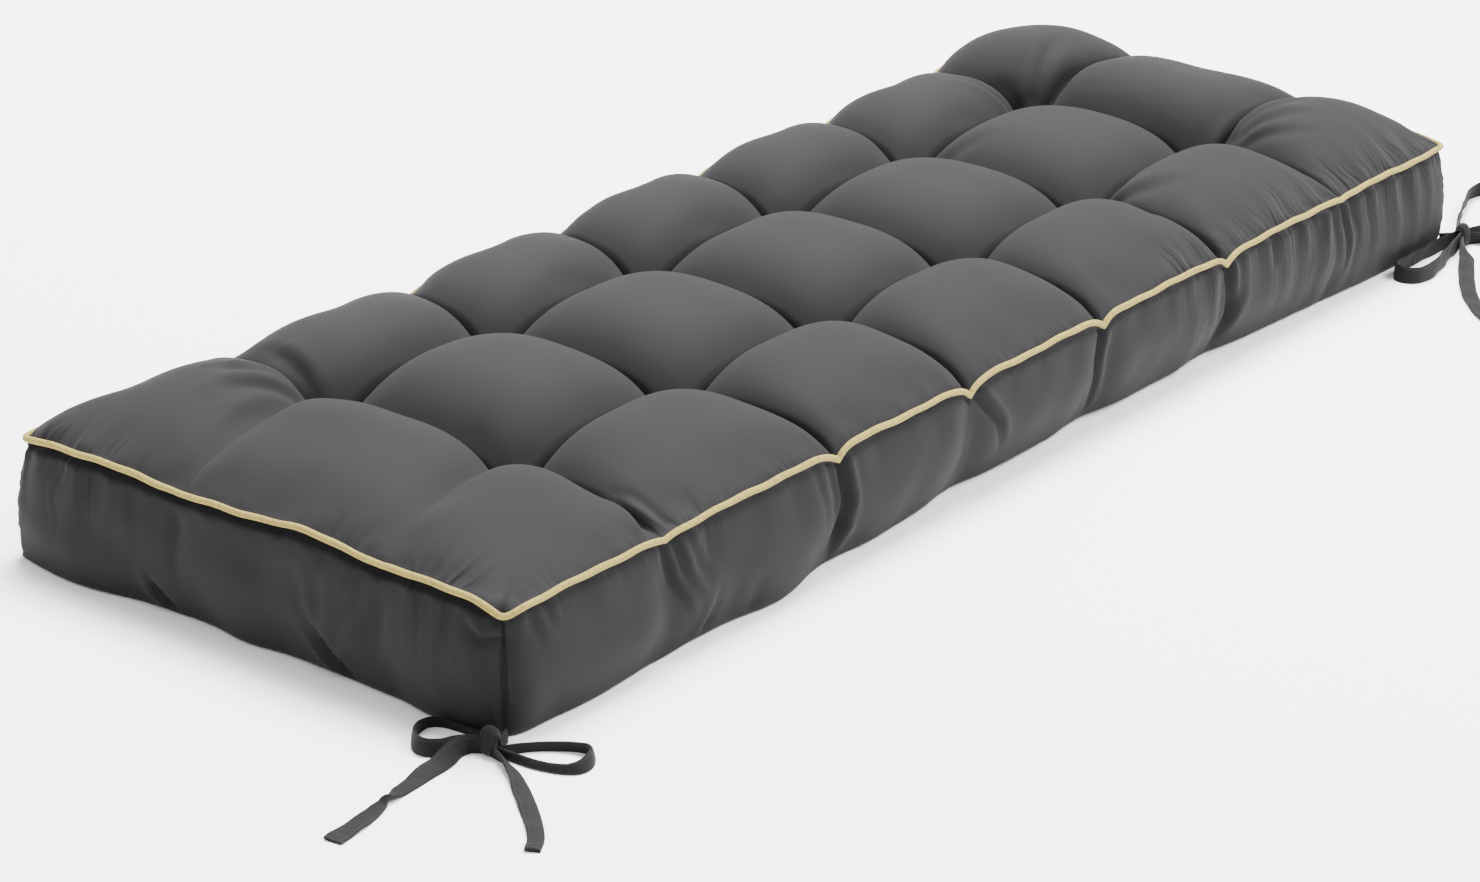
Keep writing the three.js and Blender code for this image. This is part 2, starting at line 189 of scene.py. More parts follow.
def make_floor():
    """One square, level with the underside of the cushion."""
    half = FLOOR_SIZE / 2
    points = np.array([[-half, -half, 0], [half, -half, 0], [half, half, 0], [-half, half, 0]], float)
    floor = make_piece("floor", points, [np.array([[0, 1, 2, 3]])], points[:, :2] * MM)
    material, tree = new_material("matt_white_floor")
    matt = {"Base Color": linear(FLOOR_COLOUR), "Roughness": 0.9}
    shader = add_node(tree, "ShaderNodeBsdfPrincipled", matt)
    add_node(tree, "ShaderNodeOutputMaterial", {"Surface": shader})
    floor.data.materials.append(material)
    return floor


floor = make_floor()
print("floor, in metres across:", FLOOR_SIZE * MM)

# %% Lamps and sky
SKY = {"colour": "#FFFFFF", "strength": 1.35}
LAMPS = {
    "key": {"at": (1.9, -3.0, 4.2), "size": 1.8, "watts": 410},
    "top": {"at": (1.5, 0.9, 5.0), "size": 2.4, "watts": 1250},
}


def make_lights():
    """A pale sky and square area lamps, each turned towards the middle of the cushion."""
    world = bpy.data.worlds.new("studio_sky")
    world.use_nodes = True
    sky = world.node_tree.nodes["Background"]
    sky.inputs["Color"].default_value = linear(SKY["colour"])
    sky.inputs["Strength"].default_value = SKY["strength"]
    bpy.context.scene.world = world
    for name, lamp in LAMPS.items():
        data = bpy.data.lights.new(name, "AREA")
        data.size = lamp["size"]
        data.energy = lamp["watts"]
        place = Vector(lamp["at"])
        made = bpy.data.objects.new(name, data)
        made.matrix_world = Matrix.Translation(place) @ place.to_track_quat("Z", "Y").to_matrix().to_4x4()
        bpy.context.scene.collection.objects.link(made)
    return world


make_lights()
print("lamps:", list(LAMPS))

# %% [markdown]
# ## Tapes
# Each tape is a strip of the cover's cloth, folded in three and sewn, 15 mm wide. It is sewn
# into the bottom corner, tied in a bow, and lies on the floor. A strip that stands on its
# edge in a loop and then twists flat can't be a plain curve with a bevel, so it is carried
# along its route point by point: at each one a lean says how it stands, from 0 flat to 90 on
# its edge, and a spread says how much of its width is open. The routes are listed below.

# %% Routes of the two bows, measured in millimetres from the corner each is sewn into
LENGTH = 1295
WIDTH = 483
TAPE_WIDTH = 15
TAPE_THICKNESS = 1.5
BOWS = {
    "near": {
        "corner": -LENGTH / 2,
        "knot": {"at": (-18, -2), "along": (0, 1)},
        "stub": [(0.7, -0.3, 90, 0.8), (-5, -1.7, 90, 0.8), (-10.9, -2.2, 90, 0.7), (-17, -1, 90, 0.6)],
        "loop_back": [(-17, 0, 90, 0.6), (-18.2, 4.6, 90, 0.7), (-21, 12, 84, 0.75), (-30, 19, 74, 0.8),
                      (-40, 22, 68, 0.85), (-47.5, 28, 74, 0.9), (-49, 36, 80, 0.9), (-44, 45, 84, 0.85),
                      (-35, 52, 84, 0.75), (-25, 56, 84, 0.7), (-15, 56, 80, 0.6), (-9, 49, 80, 0.5),
                      (-7, 38, 80, 0.45), (-6.8, 26, 84, 0.45), (-9.5, 13, 88, 0.5), (-13.4, 4.7, 90, 0.5),
                      (-15, 0, 90, 0.5)],
        "loop_front": [(-16, -4, 90, 0.5), (-14, -9.4, 90, 0.5), (-6, -15, 88, 0.5), (4, -23, 84, 0.5),
                       (14, -34, 82, 0.5), (21, -45, 80, 0.55), (23, -54, 76, 0.65), (19, -62, 72, 0.75),
                       (10, -67, 70, 0.75), (0, -67, 66, 0.65), (-7, -61, 62, 0.5), (-12, -50, 60, 0.45),
                       (-15, -37, 60, 0.45), (-16.5, -22, 70, 0.45), (-17.6, -8.8, 90, 0.5),
                       (-18, -4, 90, 0.5)],
        "tail_long": [(-21.6, 4.8, 90, 0.8), (-25, 9.5, 84, 0.9), (-33, 12, 70), (-45, 11.5, 44),
                      (-58, 11, 20), (-72, 10.5, 8), (-87, 9, 4, 0.95), (-100, 7, 0, 0.8),
                      (-112, 4, -30, 0.5), (-122, 2, -150, 0.5), (-134, 0, -180, 0.8), (-148, -2, -180),
                      (-163, -4, -180), (-178, -6, -180)],
        "tail_short": [(-20, -4, 90, 0.5), (-21.4, -8.8, 84, 0.55), (-26, -22, 56, 0.65),
                       (-33, -36, 24, 0.75), (-46, -54, 8, 0.85), (-61, -73, 4, 0.9), (-76, -91, 4, 0.85),
                       (-91, -106, 6, 0.8), (-105, -115, 0, 0.75)],
    },
    "far": {
        "corner": LENGTH / 2,
        "knot": {"at": (12, -16), "along": (1, 0)},
        "stub": [(-0.9, 0.3, 90, 0.8), (2.6, -4, 90, 0.8), (6.4, -6.6, 90, 0.8), (10.4, -8.2, 90, 0.7),
                 (11, -15, 90, 0.6)],
        "loop_back": [(10, -17, 90, 0.7), (5.2, -17.4, 90), (-8, -21, 90), (-30, -26, 88), (-58, -33, 84),
                      (-85, -37, 82), (-101, -34, 80), (-107, -25, 80), (-105, -15, 80), (-94, -9, 80),
                      (-76, -9, 80), (-52, -9.5, 82), (-28, -9.5, 86), (-8, -10.5, 90), (5.2, -13.2, 90),
                      (10, -15, 90, 0.7)],
        "loop_front": [(14, -16, 90, 0.7), (19.1, -13, 90), (28, -4, 88), (46, 7, 84), (73, 18, 82),
                       (105, 31, 82), (130, 38, 82), (148, 34, 80), (158, 20, 80), (152, 2, 80),
                       (134, -13, 78), (106, -24, 78), (74, -27, 82), (44, -24, 86), (18.8, -16.8, 90),
                       (14, -18, 90, 0.7)],
        "tail_long": [(5.1, -20.6, 90, 0.8), (-3, -26, 60, 0.9), (-18, -38, 24), (-40, -50, 8), (-68, -66, 4),
                      (-96, -84, 4), (-118, -102, 6), (-136, -120, 8), (-150, -138, 0)],
        "tail_short": [(14, -20, 90, 0.6), (18.9, -20.6, 90, 0.8), (25, -27, 60, 0.9), (37, -42, 24),
                       (54, -57, 8), (76, -68, 4), (100, -76, 4), (122, -86, 0)],
    },
}

# %% A smooth line through given points
def smooth_route(points, steps):
    """Centripetal Catmull-Rom curve: through every point, with steps places for each stretch.

    A stretch leaves and arrives with the mean slope of its neighbours, weighed by the square
    roots of their lengths, and a cubic of the two points and two slopes joins them.
    """
    whole = np.vstack([2 * points[:1] - points[1:2], points, 2 * points[-1:] - points[-2:-1]])
    before, first, last, after = whole[:-3, None], whole[1:-2, None], whole[2:-1, None], whole[3:, None]
    gaps = np.sqrt(np.linalg.norm(np.diff(whole, axis=0), axis=1))[:, None, None]
    gap_0, gap_1, gap_2 = gaps[:-2], gaps[1:-1], gaps[2:]
    leave = (first - before) / gap_0 - (last - before) / (gap_0 + gap_1) + (last - first) / gap_1
    arrive = (last - first) / gap_1 - (after - first) / (gap_1 + gap_2) + (after - last) / gap_2
    leave, arrive = leave * gap_1, arrive * gap_1
    t = (np.arange(steps) / steps)[None, :, None]
    cubic = first + leave * t + (3 * (last - first) - 2 * leave - arrive) * t**2
    cubic = cubic + (2 * (first - last) + leave + arrive) * t**3
    return np.vstack([cubic.reshape(-1, points.shape[1]), points[-1:]])


# %% A tape carried along its route
TAPE_STEPS_PER_POINT = 6
TAPE_CORNER_POINTS = 16
TAPE_EDGE_POWER = 0.35
TAPE_CUP = 0.7
TAPE_BUNCH = 1.4
TAPE_WAVE = {"lean": 5, "every": 34, "grows_over": 40}
TAPE_HEM = {"length": 9, "thicker": 0.55, "step": 2}
# A strand without a hem has this distance to one, in millimetres
NO_HEM = 1000.0


def tape_surface(corner, route, hemmed):
    """Rings of a strip: at each place a flat oval, as wide as the tape and a fold thick.

    The oval is (cos^p, sin^p) with a small power p, so it is nearly a rectangle with rounded
    edges. Across the strip it cups like a shallow gutter, and where it is gathered its
    thickness grows by what its width loses. A free end is turned over once and sewn, so it
    is thicker there. The strip's lower edge always touches the floor.
    """
    full = np.array([tuple(row) + (1,) * (4 - len(row)) for row in route], float)
    line = smooth_route(full[:, :2] + (corner, -WIDTH / 2), TAPE_STEPS_PER_POINT)
    at = np.arange(len(line)) / TAPE_STEPS_PER_POINT
    walked = outline_length(line)
    wave = TAPE_WAVE["lean"] * np.sin(walked / TAPE_WAVE["every"] * 2 * math.pi)
    wave = wave * np.clip(walked / TAPE_WAVE["grows_over"], 0, 1)
    lean = np.radians(np.interp(at, np.arange(len(full)), full[:, 2]) + wave)
    spread = np.interp(at, np.arange(len(full)), full[:, 3])
    tangent = unit(np.gradient(line, axis=0))
    side = np.stack([tangent[:, 1], -tangent[:, 0]], 1)
    across = np.column_stack([side * np.cos(lean)[:, None], np.sin(lean)])
    thick = np.column_stack([-side * np.sin(lean)[:, None], np.cos(lean)])
    half_width = TAPE_WIDTH * spread / 2
    half_thick = TAPE_THICKNESS * (1 + TAPE_BUNCH * (1 - spread)) / 2
    from_hem = walked - walked[-1] + TAPE_HEM["length"]
    in_hem = np.clip(from_hem / TAPE_HEM["step"], 0, 1) if hemmed else 0
    half_thick = half_thick * (1 + TAPE_HEM["thicker"] * in_hem)
    angle = np.arange(TAPE_CORNER_POINTS) / TAPE_CORNER_POINTS * 2 * math.pi
    wide = np.sign(np.cos(angle)) * np.abs(np.cos(angle)) ** TAPE_EDGE_POWER
    high = np.sign(np.sin(angle)) * np.abs(np.sin(angle)) ** TAPE_EDGE_POWER
    cup = TAPE_CUP * (1 - wide**2)[None, :] * spread[:, None]
    rings = across[:, None] * (wide[None, :] * half_width[:, None])[..., None]
    rings = rings + thick[:, None] * (high[None, :] * half_thick[:, None] + cup)[..., None]
    height = -rings[..., 2].min(axis=1)
    centre = np.column_stack([line, height])
    return centre, rings + centre[:, None], walked, wide


def closed_tube(rings):
    """Faces of a tube of rings and the two rows of corners that close its ends."""
    count, corners = rings.shape[:2]
    index = np.arange(count * corners).reshape(count, corners)
    index = np.hstack([index, index[:, :1]])
    return [grid_quads(index)[:, ::-1], index[:1, :-1], index[-1:, -2::-1]]


def tape_piece(name, corner, route, hemmed):
    """The mesh of one strand, with its UV map running along and across the tape."""
    centre, rings, walked, wide = tape_surface(corner, route, hemmed)
    faces = closed_tube(rings)
    place = np.stack(np.broadcast_arrays(walked[:, None], wide[None] * TAPE_WIDTH / 2), -1).reshape(-1, 2)
    corner_uv = np.concatenate([place[group.ravel()] for group in faces]) * MM
    piece = make_piece(name, rings.reshape(-1, 3), faces, corner_uv)
    to_end = walked[-1] - walked if hemmed else np.full(len(walked), NO_HEM)
    layer = piece.data.attributes.new("to_hem", "FLOAT", "POINT")
    layer.data.foreach_set("value", np.repeat(to_end * MM, len(wide)).astype(np.float32))
    return piece, centre


# %% [markdown]
# The knot is the same tape, wound once round the four strands and pulled tight. Its form is
# a short barrel with folds that run round it, and its ends close in on the strands.

# %% Knot
KNOT = {"length": 13, "depth": 13, "height": 21, "waist": 0.85, "foot": 0.2, "boxy": 0.75}
KNOT_RINGS = 28
KNOT_CORNERS = 40
KNOT_FOLD = {"depth": 0.55, "folds": 3.0, "skew": 1.4, "start": 0.8, "power": 0.6}
KNOT_END = {"share": 0.62, "power": 6}


def knot_surface(corner, knot):
    """A barrel on its side: ovals along an axis, fuller in the middle, with slanting folds.

    The radius is nearly even and closes in by a high power at both ends, so the barrel is
    blunt. A sine of the place along it and the angle round it raises the folds of the wound
    tape. Its foot is a little wider than its head.
    """
    t = np.linspace(0, 1, KNOT_RINGS)[:, None]
    angle = (np.arange(KNOT_CORNERS) / KNOT_CORNERS * 2 * math.pi)[None]
    full = KNOT["waist"] + (1 - KNOT["waist"]) * np.sin(math.pi * t)
    blunt = (1 - np.abs(2 * t - 1) ** KNOT_END["power"] * (1 - KNOT_END["share"])) * full
    turn = 2 * math.pi * KNOT_FOLD["folds"] * t + KNOT_FOLD["skew"] * np.sin(angle + KNOT_FOLD["start"])
    fold = KNOT_FOLD["depth"] * (np.abs(np.sin(turn / 2)) ** KNOT_FOLD["power"] - 0.5)
    along = (t - 0.5) * KNOT["length"] * np.ones_like(angle)
    cosine, sine = (np.sign(wave) * np.abs(wave) ** KNOT["boxy"] for wave in (np.cos(angle), np.sin(angle)))
    across = cosine * (KNOT["depth"] / 2 * blunt + fold) * (1 - KNOT["foot"] * sine)
    up = sine * (KNOT["height"] / 2 * blunt + fold)
    centre = np.array([corner + knot["at"][0], knot["at"][1] - WIDTH / 2, 0])
    axis = np.array([*knot["along"], 0])
    side = np.array([-knot["along"][1], knot["along"][0], 0])
    points = centre + along[..., None] * axis + across[..., None] * side
    points[..., 2] = up - up.min()
    return points, along, angle


def knot_piece(name, corner, knot):
    """The mesh of one knot, with the tape's UV map wound round it."""
    points, along, angle = knot_surface(corner, knot)
    faces = closed_tube(points)
    place = np.stack(np.broadcast_arrays(angle * KNOT["depth"] / 2, along), -1).reshape(-1, 2)
    corner_uv = np.concatenate([place[group.ravel()] for group in faces]) * MM
    return make_piece(name, points.reshape(-1, 3), faces, corner_uv)


# %% Tie both bows
TAPE_PIECES = []
STRANDS = {
    "loop_back": {"far_end": "knot", "nodes": ["loop_back"]},
    "loop_front": {"far_end": "knot", "nodes": ["loop_front"]},
    "tail_long": {"far_end": "bare", "nodes": ["stub", "tail_long"]},
    "tail_short": {"far_end": "bare", "nodes": ["tail_short"]},
}


def tie_bow(bow_name, bow):
    """Makes the knot and four strands of one bow, and hems each strand whose far end is bare."""
    corner = bow["corner"]
    knot = knot_piece(f"{bow_name}_bow_knot", corner, bow["knot"])
    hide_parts(f"{bow_name}_knot")
    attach(knot, "root")
    TAPE_PIECES.append(knot)
    for strand, facts in STRANDS.items():
        from_corner = strand == "tail_long"
        route = bow["stub"] + bow[strand] if from_corner else bow[strand]
        hemmed = facts["far_end"] == "bare"
        piece, centre = tape_piece(f"{bow_name}_bow_{strand}", corner, route, hemmed)
        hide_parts(*[f"{bow_name}_{node}" for node in facts["nodes"]])
        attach(piece, "root")
        TAPE_PIECES.append(piece)


for bow_name, bow in BOWS.items():
    tie_bow(bow_name, bow)

# %% [markdown]
# ## The cushion's net
# A tufted cushion is a net of stitches with cloth between them. The net's inner nodes are
# the tufts, and its outer ones are where the creases reach the seams. Each mesh of the net
# is one bulge. Its surface is worked out in two steps: first a cloth hung between its four
# crease lines, then a dome set on that cloth, steep beside a crease and flat on top.
#
# A subdivided box pulled about by hand could give one such bulge, but twenty-one of them
# with shared creases are better as one function of two numbers, counted in bulges along
# the cushion and across it.

# %% Blends, fades and bells
def lerp(a, b, t):
    """Straight blend from a to b."""
    return a + (b - a) * t


def fade(distance, run):
    """1 at a line, falling as a square to 0 at the end of its run."""
    return np.clip(1 - distance / run, 0, 1) ** 2


def bell(distance, run, power=2):
    """1 in the middle, falling on both sides as e to minus (distance / run)^power."""
    return np.exp(-((distance / run) ** power))


# %% Sizes of the net
SEAM_HEIGHT = 95
SEAM_SET_IN = 3
TUFT_PITCH = 186.5
TUFT_X = np.array([-2.5, -1.5, -0.5, 0.5, 1.5, 2.5]) * TUFT_PITCH
TUFT_Y = np.array([-0.5, 0.5]) * TUFT_PITCH
TUFT_HEIGHT = 67
FRONT_NOTCH_X = [-474, -270, -100, 87, 274, 462]
BACK_NOTCH_X = [-452, -246, -60, 124, 310, 486]
# Notches that pull the boxing less than the others
NOTCH_SHARE = {462: 0.1, 70: 0.2, -128: 0.6}
NEAR_NOTCH_Y = [-128, 70]
FAR_NOTCH_Y = [-110, 76]
FRONT_NOTCH_DROP = [3, 9, 11, 9, 9, 3]
BACK_NOTCH_DROP = [8, 17, 17, 17, 17, 14]
END_NOTCH_DROP = 2
# The seams at both ends arch up between their corners, the near one most where it is fullest
NEAR_ARCH = {"rise": 5, "power": 10, "peak": 5, "peak_y": -62, "peak_run": 42}
FAR_ARCH = {"rise": 6, "power": 6, "peak": 0, "peak_y": 0, "peak_run": 1}
COLUMNS = len(TUFT_X) + 1
ROWS = len(TUFT_Y) + 1


def end_arch(y, sizes):
    """Rise of an end's seam: flat with round shoulders, and a bell at its peak."""
    shoulders = 1 - np.clip(np.abs(2 * y / (WIDTH - 2 * SEAM_SET_IN)), 0, 1) ** sizes["power"]
    return sizes["rise"] * shoulders + sizes["peak"] * bell(y - sizes["peak_y"], sizes["peak_run"])


def make_net():
    """Points of the net: corners and notches on the seams, tufts inside, all given."""
    end_x = LENGTH / 2 - SEAM_SET_IN
    side_y = WIDTH / 2 - SEAM_SET_IN
    net = np.zeros((COLUMNS + 1, ROWS + 1, 3))
    net[0, :, 0] = -end_x
    net[COLUMNS, :, 0] = end_x
    net[:, 0, 1] = -side_y
    net[:, ROWS, 1] = side_y
    net[1:COLUMNS, 0, 0] = FRONT_NOTCH_X
    net[1:COLUMNS, ROWS, 0] = BACK_NOTCH_X
    net[1:COLUMNS, 1:ROWS, 0] = TUFT_X[:, None]
    net[0, 1:ROWS, 1] = NEAR_NOTCH_Y
    net[COLUMNS, 1:ROWS, 1] = FAR_NOTCH_Y
    net[1:COLUMNS, 1:ROWS, 1] = TUFT_Y
    net[..., 2] = SEAM_HEIGHT
    net[1:COLUMNS, 0, 2] -= FRONT_NOTCH_DROP
    net[1:COLUMNS, ROWS, 2] -= BACK_NOTCH_DROP
    net[0, 1:ROWS, 2] += end_arch(net[0, 1:ROWS, 1], NEAR_ARCH) - END_NOTCH_DROP
    net[COLUMNS, 1:ROWS, 2] += end_arch(net[COLUMNS, 1:ROWS, 1], FAR_ARCH) - END_NOTCH_DROP
    net[1:COLUMNS, 1:ROWS, 2] = TUFT_HEIGHT
    return net


NET = make_net()
print("tufts:", len(TUFT_X) * len(TUFT_Y), "bulges:", COLUMNS * ROWS)

# %% Heights of the creases and crowns
# Height of each crease half way between two nodes: along the cushion one for every column,
# across it one for every row, but higher where the near end's back bulge runs into the next
CREASE_ALONG = np.array([125, 104, 103, 103, 103, 103, 120])
CREASE_ACROSS = np.tile([105, 103, 105], (COLUMNS + 1, 1))
CREASE_ACROSS[1, 2] = 113
CREASE_DIP_POWER = 3
FRONT_DIP_POWER = 9
# Height of the back seam between its notches, for every column
BACK_SEAM_HEIGHT = np.array([98, 95, 95, 95, 95, 95, 100])
CROWN = np.array([
    [123, 131, 132, 132, 132, 132, 134],
    [134, 141, 137, 136, 135, 135, 142],
    [127, 131, 127, 130, 129, 129, 145],
])
# How far the top of each bulge leans to the far end, as a share
SKEW = np.array([
    [0.6, 0.55, 0.3, 0.25, 0.25, 0.25, 0.6],
    [0.0, 0.0, 0.0, 0.0, 0.0, 0.0, 0.4],
    [-0.85, -0.4, 0.0, 0.1, 0.2, 0.3, 0.8],
])

# %% Crease lines and the cloth hung between them
def blend_nodes(values, column, row, a, b):
    """Value inside a bulge from its four nodes, blended along and then across."""
    low = lerp(values[column, row], values[column + 1, row], a)
    high = lerp(values[column, row + 1], values[column + 1, row + 1], a)
    return lerp(low, high, b)


def line_height(first, last, middle, t, power):
    """A crease: at its nodes' heights at both ends, and nearly flat and higher between."""
    end = np.where(t < 0.5, first, last)
    return middle + (end - middle) * np.abs(2 * t - 1) ** power


def line_along(column, line, a):
    """Height on one of the lines along the cushion."""
    on_seam = (line == 0) | (line == ROWS)
    middle = np.where(on_seam, SEAM_HEIGHT, CREASE_ALONG[column])
    middle = np.where(line == ROWS, BACK_SEAM_HEIGHT[column], middle)
    power = np.where(line == 0, FRONT_DIP_POWER, CREASE_DIP_POWER)
    return line_height(NET[column, line, 2], NET[column + 1, line, 2], middle, a, power)


def line_across(line, row, b):
    """Height on one of the lines across the cushion."""
    on_seam = (line == 0) | (line == COLUMNS)
    middle = np.where(on_seam, SEAM_HEIGHT, CREASE_ACROSS[line, row])
    height = line_height(NET[line, row, 2], NET[line, row + 1, 2], middle, b, CREASE_DIP_POWER)
    for end, sizes in ((0, NEAR_ARCH), (COLUMNS, FAR_ARCH)):
        first, last = NET[end, row, 1], NET[end, row + 1, 1]
        curve = end_arch(lerp(first, last, b), sizes)
        nodes = lerp(end_arch(first, sizes), end_arch(last, sizes), np.where(b < 0.5, 0, 1))
        fall = np.abs(2 * b - 1) ** CREASE_DIP_POWER
        height = height + np.where(line == end, curve - nodes * fall, 0)
    return height


def hung_height(column, row, a, b):
    """Cloth hung in a bulge's frame: both blends of opposite lines, less the blend of nodes."""
    from_along = lerp(line_along(column, row, a), line_along(column, row + 1, a), b)
    from_across = lerp(line_across(column, row, b), line_across(column + 1, row, b), a)
    return from_along + from_across - blend_nodes(NET[..., 2], column, row, a, b)


# %% Domes
# Power and root of the dome's arc beside each kind of edge
ROUNDNESS = {
    "crease": (2.3, 2.5), "front": (2.0, 1.25), "back": (2.2, 1.8), "near": (2.0, 1.3), "far": (2.4, 2.7),
    "near_back": (2.4, 3.2), "corner_back": (2.5, 3.4), "front_row": (2.5, 2.4),
}
# Creases that fade into soft valleys: towards the near end, and behind the near end's bulge
SOFT = {"floor": 0.9, "near_power": 5, "behind": 0.85}


def rise(t, kinds, soft):
    """Arc of a dome: 0 at the edge and 1 in the middle, (1 - (1 - 2t)^power) to 1 / root.

    kinds pairs a condition with the name of a roundness, and the last one that holds counts.
    Where an edge is soft the arc turns into a smooth step that starts well above 0.
    """
    power, root = ROUNDNESS["crease"]
    for condition, name in kinds:
        power = np.where(condition, ROUNDNESS[name][0], power)
        root = np.where(condition, ROUNDNESS[name][1], root)
    near = np.clip(2 * t, 0, 1)
    sharp = (1 - (1 - near) ** power) ** (1 / root)
    gentle = SOFT["floor"] + (1 - SOFT["floor"]) * near**2 * (3 - 2 * near)
    return lerp(sharp, gentle, soft)


def spread_over_bulges(table, column, row, a, b):
    """A value given for each bulge, carried smoothly from one to the next at shared edges."""
    def toward(own, low, high, t):
        return own + np.where(t < 0.5, low - own, high - own) / 2 * (2 * t - 1) ** 2

    def in_column(c):
        own = table[row, c]
        return toward(own, table[np.maximum(row - 1, 0), c], table[np.minimum(row + 1, ROWS - 1), c], b)

    low, high = np.maximum(column - 1, 0), np.minimum(column + 1, COLUMNS - 1)
    return toward(in_column(column), in_column(low), in_column(high), a)


def dome_share(column, row, a, b):
    """Share of a bulge's lift at a place: the product of the arcs that rise from its four edges."""
    leaned = a - SKEW[row, column] * a * (1 - a)
    at_near, at_far = column == 0, column == COLUMNS - 1
    at_front, at_back = row == 0, row == ROWS - 1
    near_soft = np.where(at_near, 1 - a ** SOFT["near_power"], 0)
    behind = np.where(at_near & at_back, SOFT["behind"], 0)
    behind_next = np.where((column == 1) & at_back, SOFT["behind"], 0)
    from_near = rise(leaned, [(at_near, "near"), (at_near & at_back, "near_back")], behind_next)
    from_far = rise(1 - leaned, [(at_front, "front_row"), (at_far, "far")], behind)
    from_front = rise(b, [(at_front, "front")], np.where(at_front, 0, near_soft))
    back_kinds = [(at_back, "back"), (at_back & at_near, "corner_back")]
    from_back = rise(1 - b, back_kinds, np.where(at_back, 0, near_soft))
    return from_near * from_far * from_front * from_back


# %% Corners of the top
# For each corner: its two signs, how far it is pulled in, and how far it drops
CORNERS = [(-1, -1, 6.5, 6), (-1, 1, 1.2, 1), (1, -1, 1.2, 0), (1, 1, 2, 1)]
CORNER_RUN = {"pull": 26, "drop": 30}
# The near back bulge is stuffed fuller along its back seam than its crown is
CORNER_FILL = {"rise": 15, "steep": 6, "until": 0.78, "power": 1.8, "run": 75}


def corner_moves(x, y):
    """How far the cloth is pulled in and how far it drops near the corners, as squares."""
    away = LENGTH / 2 - np.abs(x) + WIDTH / 2 - np.abs(y) - 2 * SEAM_SET_IN
    pull, drop = np.zeros(x.shape), np.zeros(x.shape)
    for sign_x, sign_y, inwards, down in CORNERS:
        here = (np.sign(x) == sign_x) & (np.sign(y) == sign_y)
        pull = np.where(here, inwards * fade(away, CORNER_RUN["pull"]), pull)
        drop = np.where(here, down * fade(away, CORNER_RUN["drop"]), drop)
    return pull, drop


def corner_fill(u, v):
    """Extra fullness at the near back corner: 0 at both seams, and a bell away from the back one."""
    from_near, from_back = u * TUFT_PITCH, (ROWS - v) * TUFT_PITCH
    steep = CORNER_FILL["steep"]
    filled = (1 - np.exp(-from_back / steep)) * (1 - np.exp(-from_near / steep))
    filled = filled * bell(from_back, CORNER_FILL["run"])
    filled = filled * (1 - np.clip(u / CORNER_FILL["until"], 0, 1) ** CORNER_FILL["power"])
    return CORNER_FILL["rise"] * filled


# %% The whole top
BACK_DRAW_IN = {"depth": 12, "power": 0.5}
INSET_RUN = 60


def bulge_lift():
    """How far each crown stands above the cloth hung at the middle of its bulge."""
    row, column = np.mgrid[0:ROWS, 0:COLUMNS]
    middle = np.full(row.shape, 0.5)
    return CROWN - hung_height(column, row, middle, middle)


LIFT = bulge_lift()


def top_surface(u, v):
    """Points of the top at u bulges along and v bulges across, two arrays of one shape.

    In plan a point is blended from the four nodes round it. The back seam bows in by a
    cosine, and the corners are pulled in a little, as turned cloth never fills its corner.
    """
    column = np.minimum(u.astype(int), COLUMNS - 1)
    row = np.minimum(v.astype(int), ROWS - 1)
    a, b = u - column, v - row
    lift = spread_over_bulges(LIFT, column, row, a, b) * dome_share(column, row, a, b)
    x = blend_nodes(NET[..., 0], column, row, a, b)
    y = blend_nodes(NET[..., 1], column, row, a, b)
    bow = np.cos(x / LENGTH * math.pi) ** BACK_DRAW_IN["power"]
    draw_in = BACK_DRAW_IN["depth"] * bow * fade(WIDTH / 2 - y, INSET_RUN)
    pull, drop = corner_moves(x, y)
    z = hung_height(column, row, a, b) + lift - drop + corner_fill(u, v)
    return np.stack([x - np.sign(x) * pull, y - np.sign(y) * pull - draw_in, z], -1)


print("crowns above the cloth hung in their bulges, in millimetres:", LIFT.round().astype(int).tolist())

# %% [markdown]
# The underside is flat where it rests, lifts a little at its seam and over each tuft, and is
# tucked in where a crease pulls the boxing down to it. The boxing between the two seams
# swells out between the corners and is held back at each crease.

# %% Underside
BOTTOM = {"inset": 3, "power": 0.6, "lift": 2.5, "tuck_run": 24}
# Where the near end's boxing bellies out over its bottom seam: place, how far, and run
NEAR_BELLY = [(175, 14, 60), (5, 5, 28), (-185, 6, 34)]
# The front's is tucked under along the middle, and fuller in its first two bulges
FRONT_TUCK = {"depth": 14, "middle": 120, "run": 330}
FRONT_BELLY = [(-555, 5, 60), (-350, 8, 40)]
BOTTOM_NOTCH = {"inset": 7, "run": 34}
BOTTOM_TUFT = {"lift": 12, "run": 62}


def near_notch(along, notches, run):
    """1 at the nearest notch, falling as a bell over the run."""
    if not notches:
        return np.zeros_like(along)
    shares = np.array([NOTCH_SHARE.get(place, 1) for place in notches])
    return (shares * bell(along[..., None] - np.array(notches), run)).max(axis=-1)


def bottom_inset(along, side_length, notches):
    """How far the bottom seam lies inside the top seam: a sine over the side, more at a notch."""
    corner = np.sin(math.pi * np.clip(along / side_length + 0.5, 0, 1)) ** BOTTOM["power"]
    deeper = BOTTOM_NOTCH["inset"] * near_notch(along, notches, BOTTOM_NOTCH["run"])
    return corner * (BOTTOM["inset"] + deeper) - SEAM_SET_IN


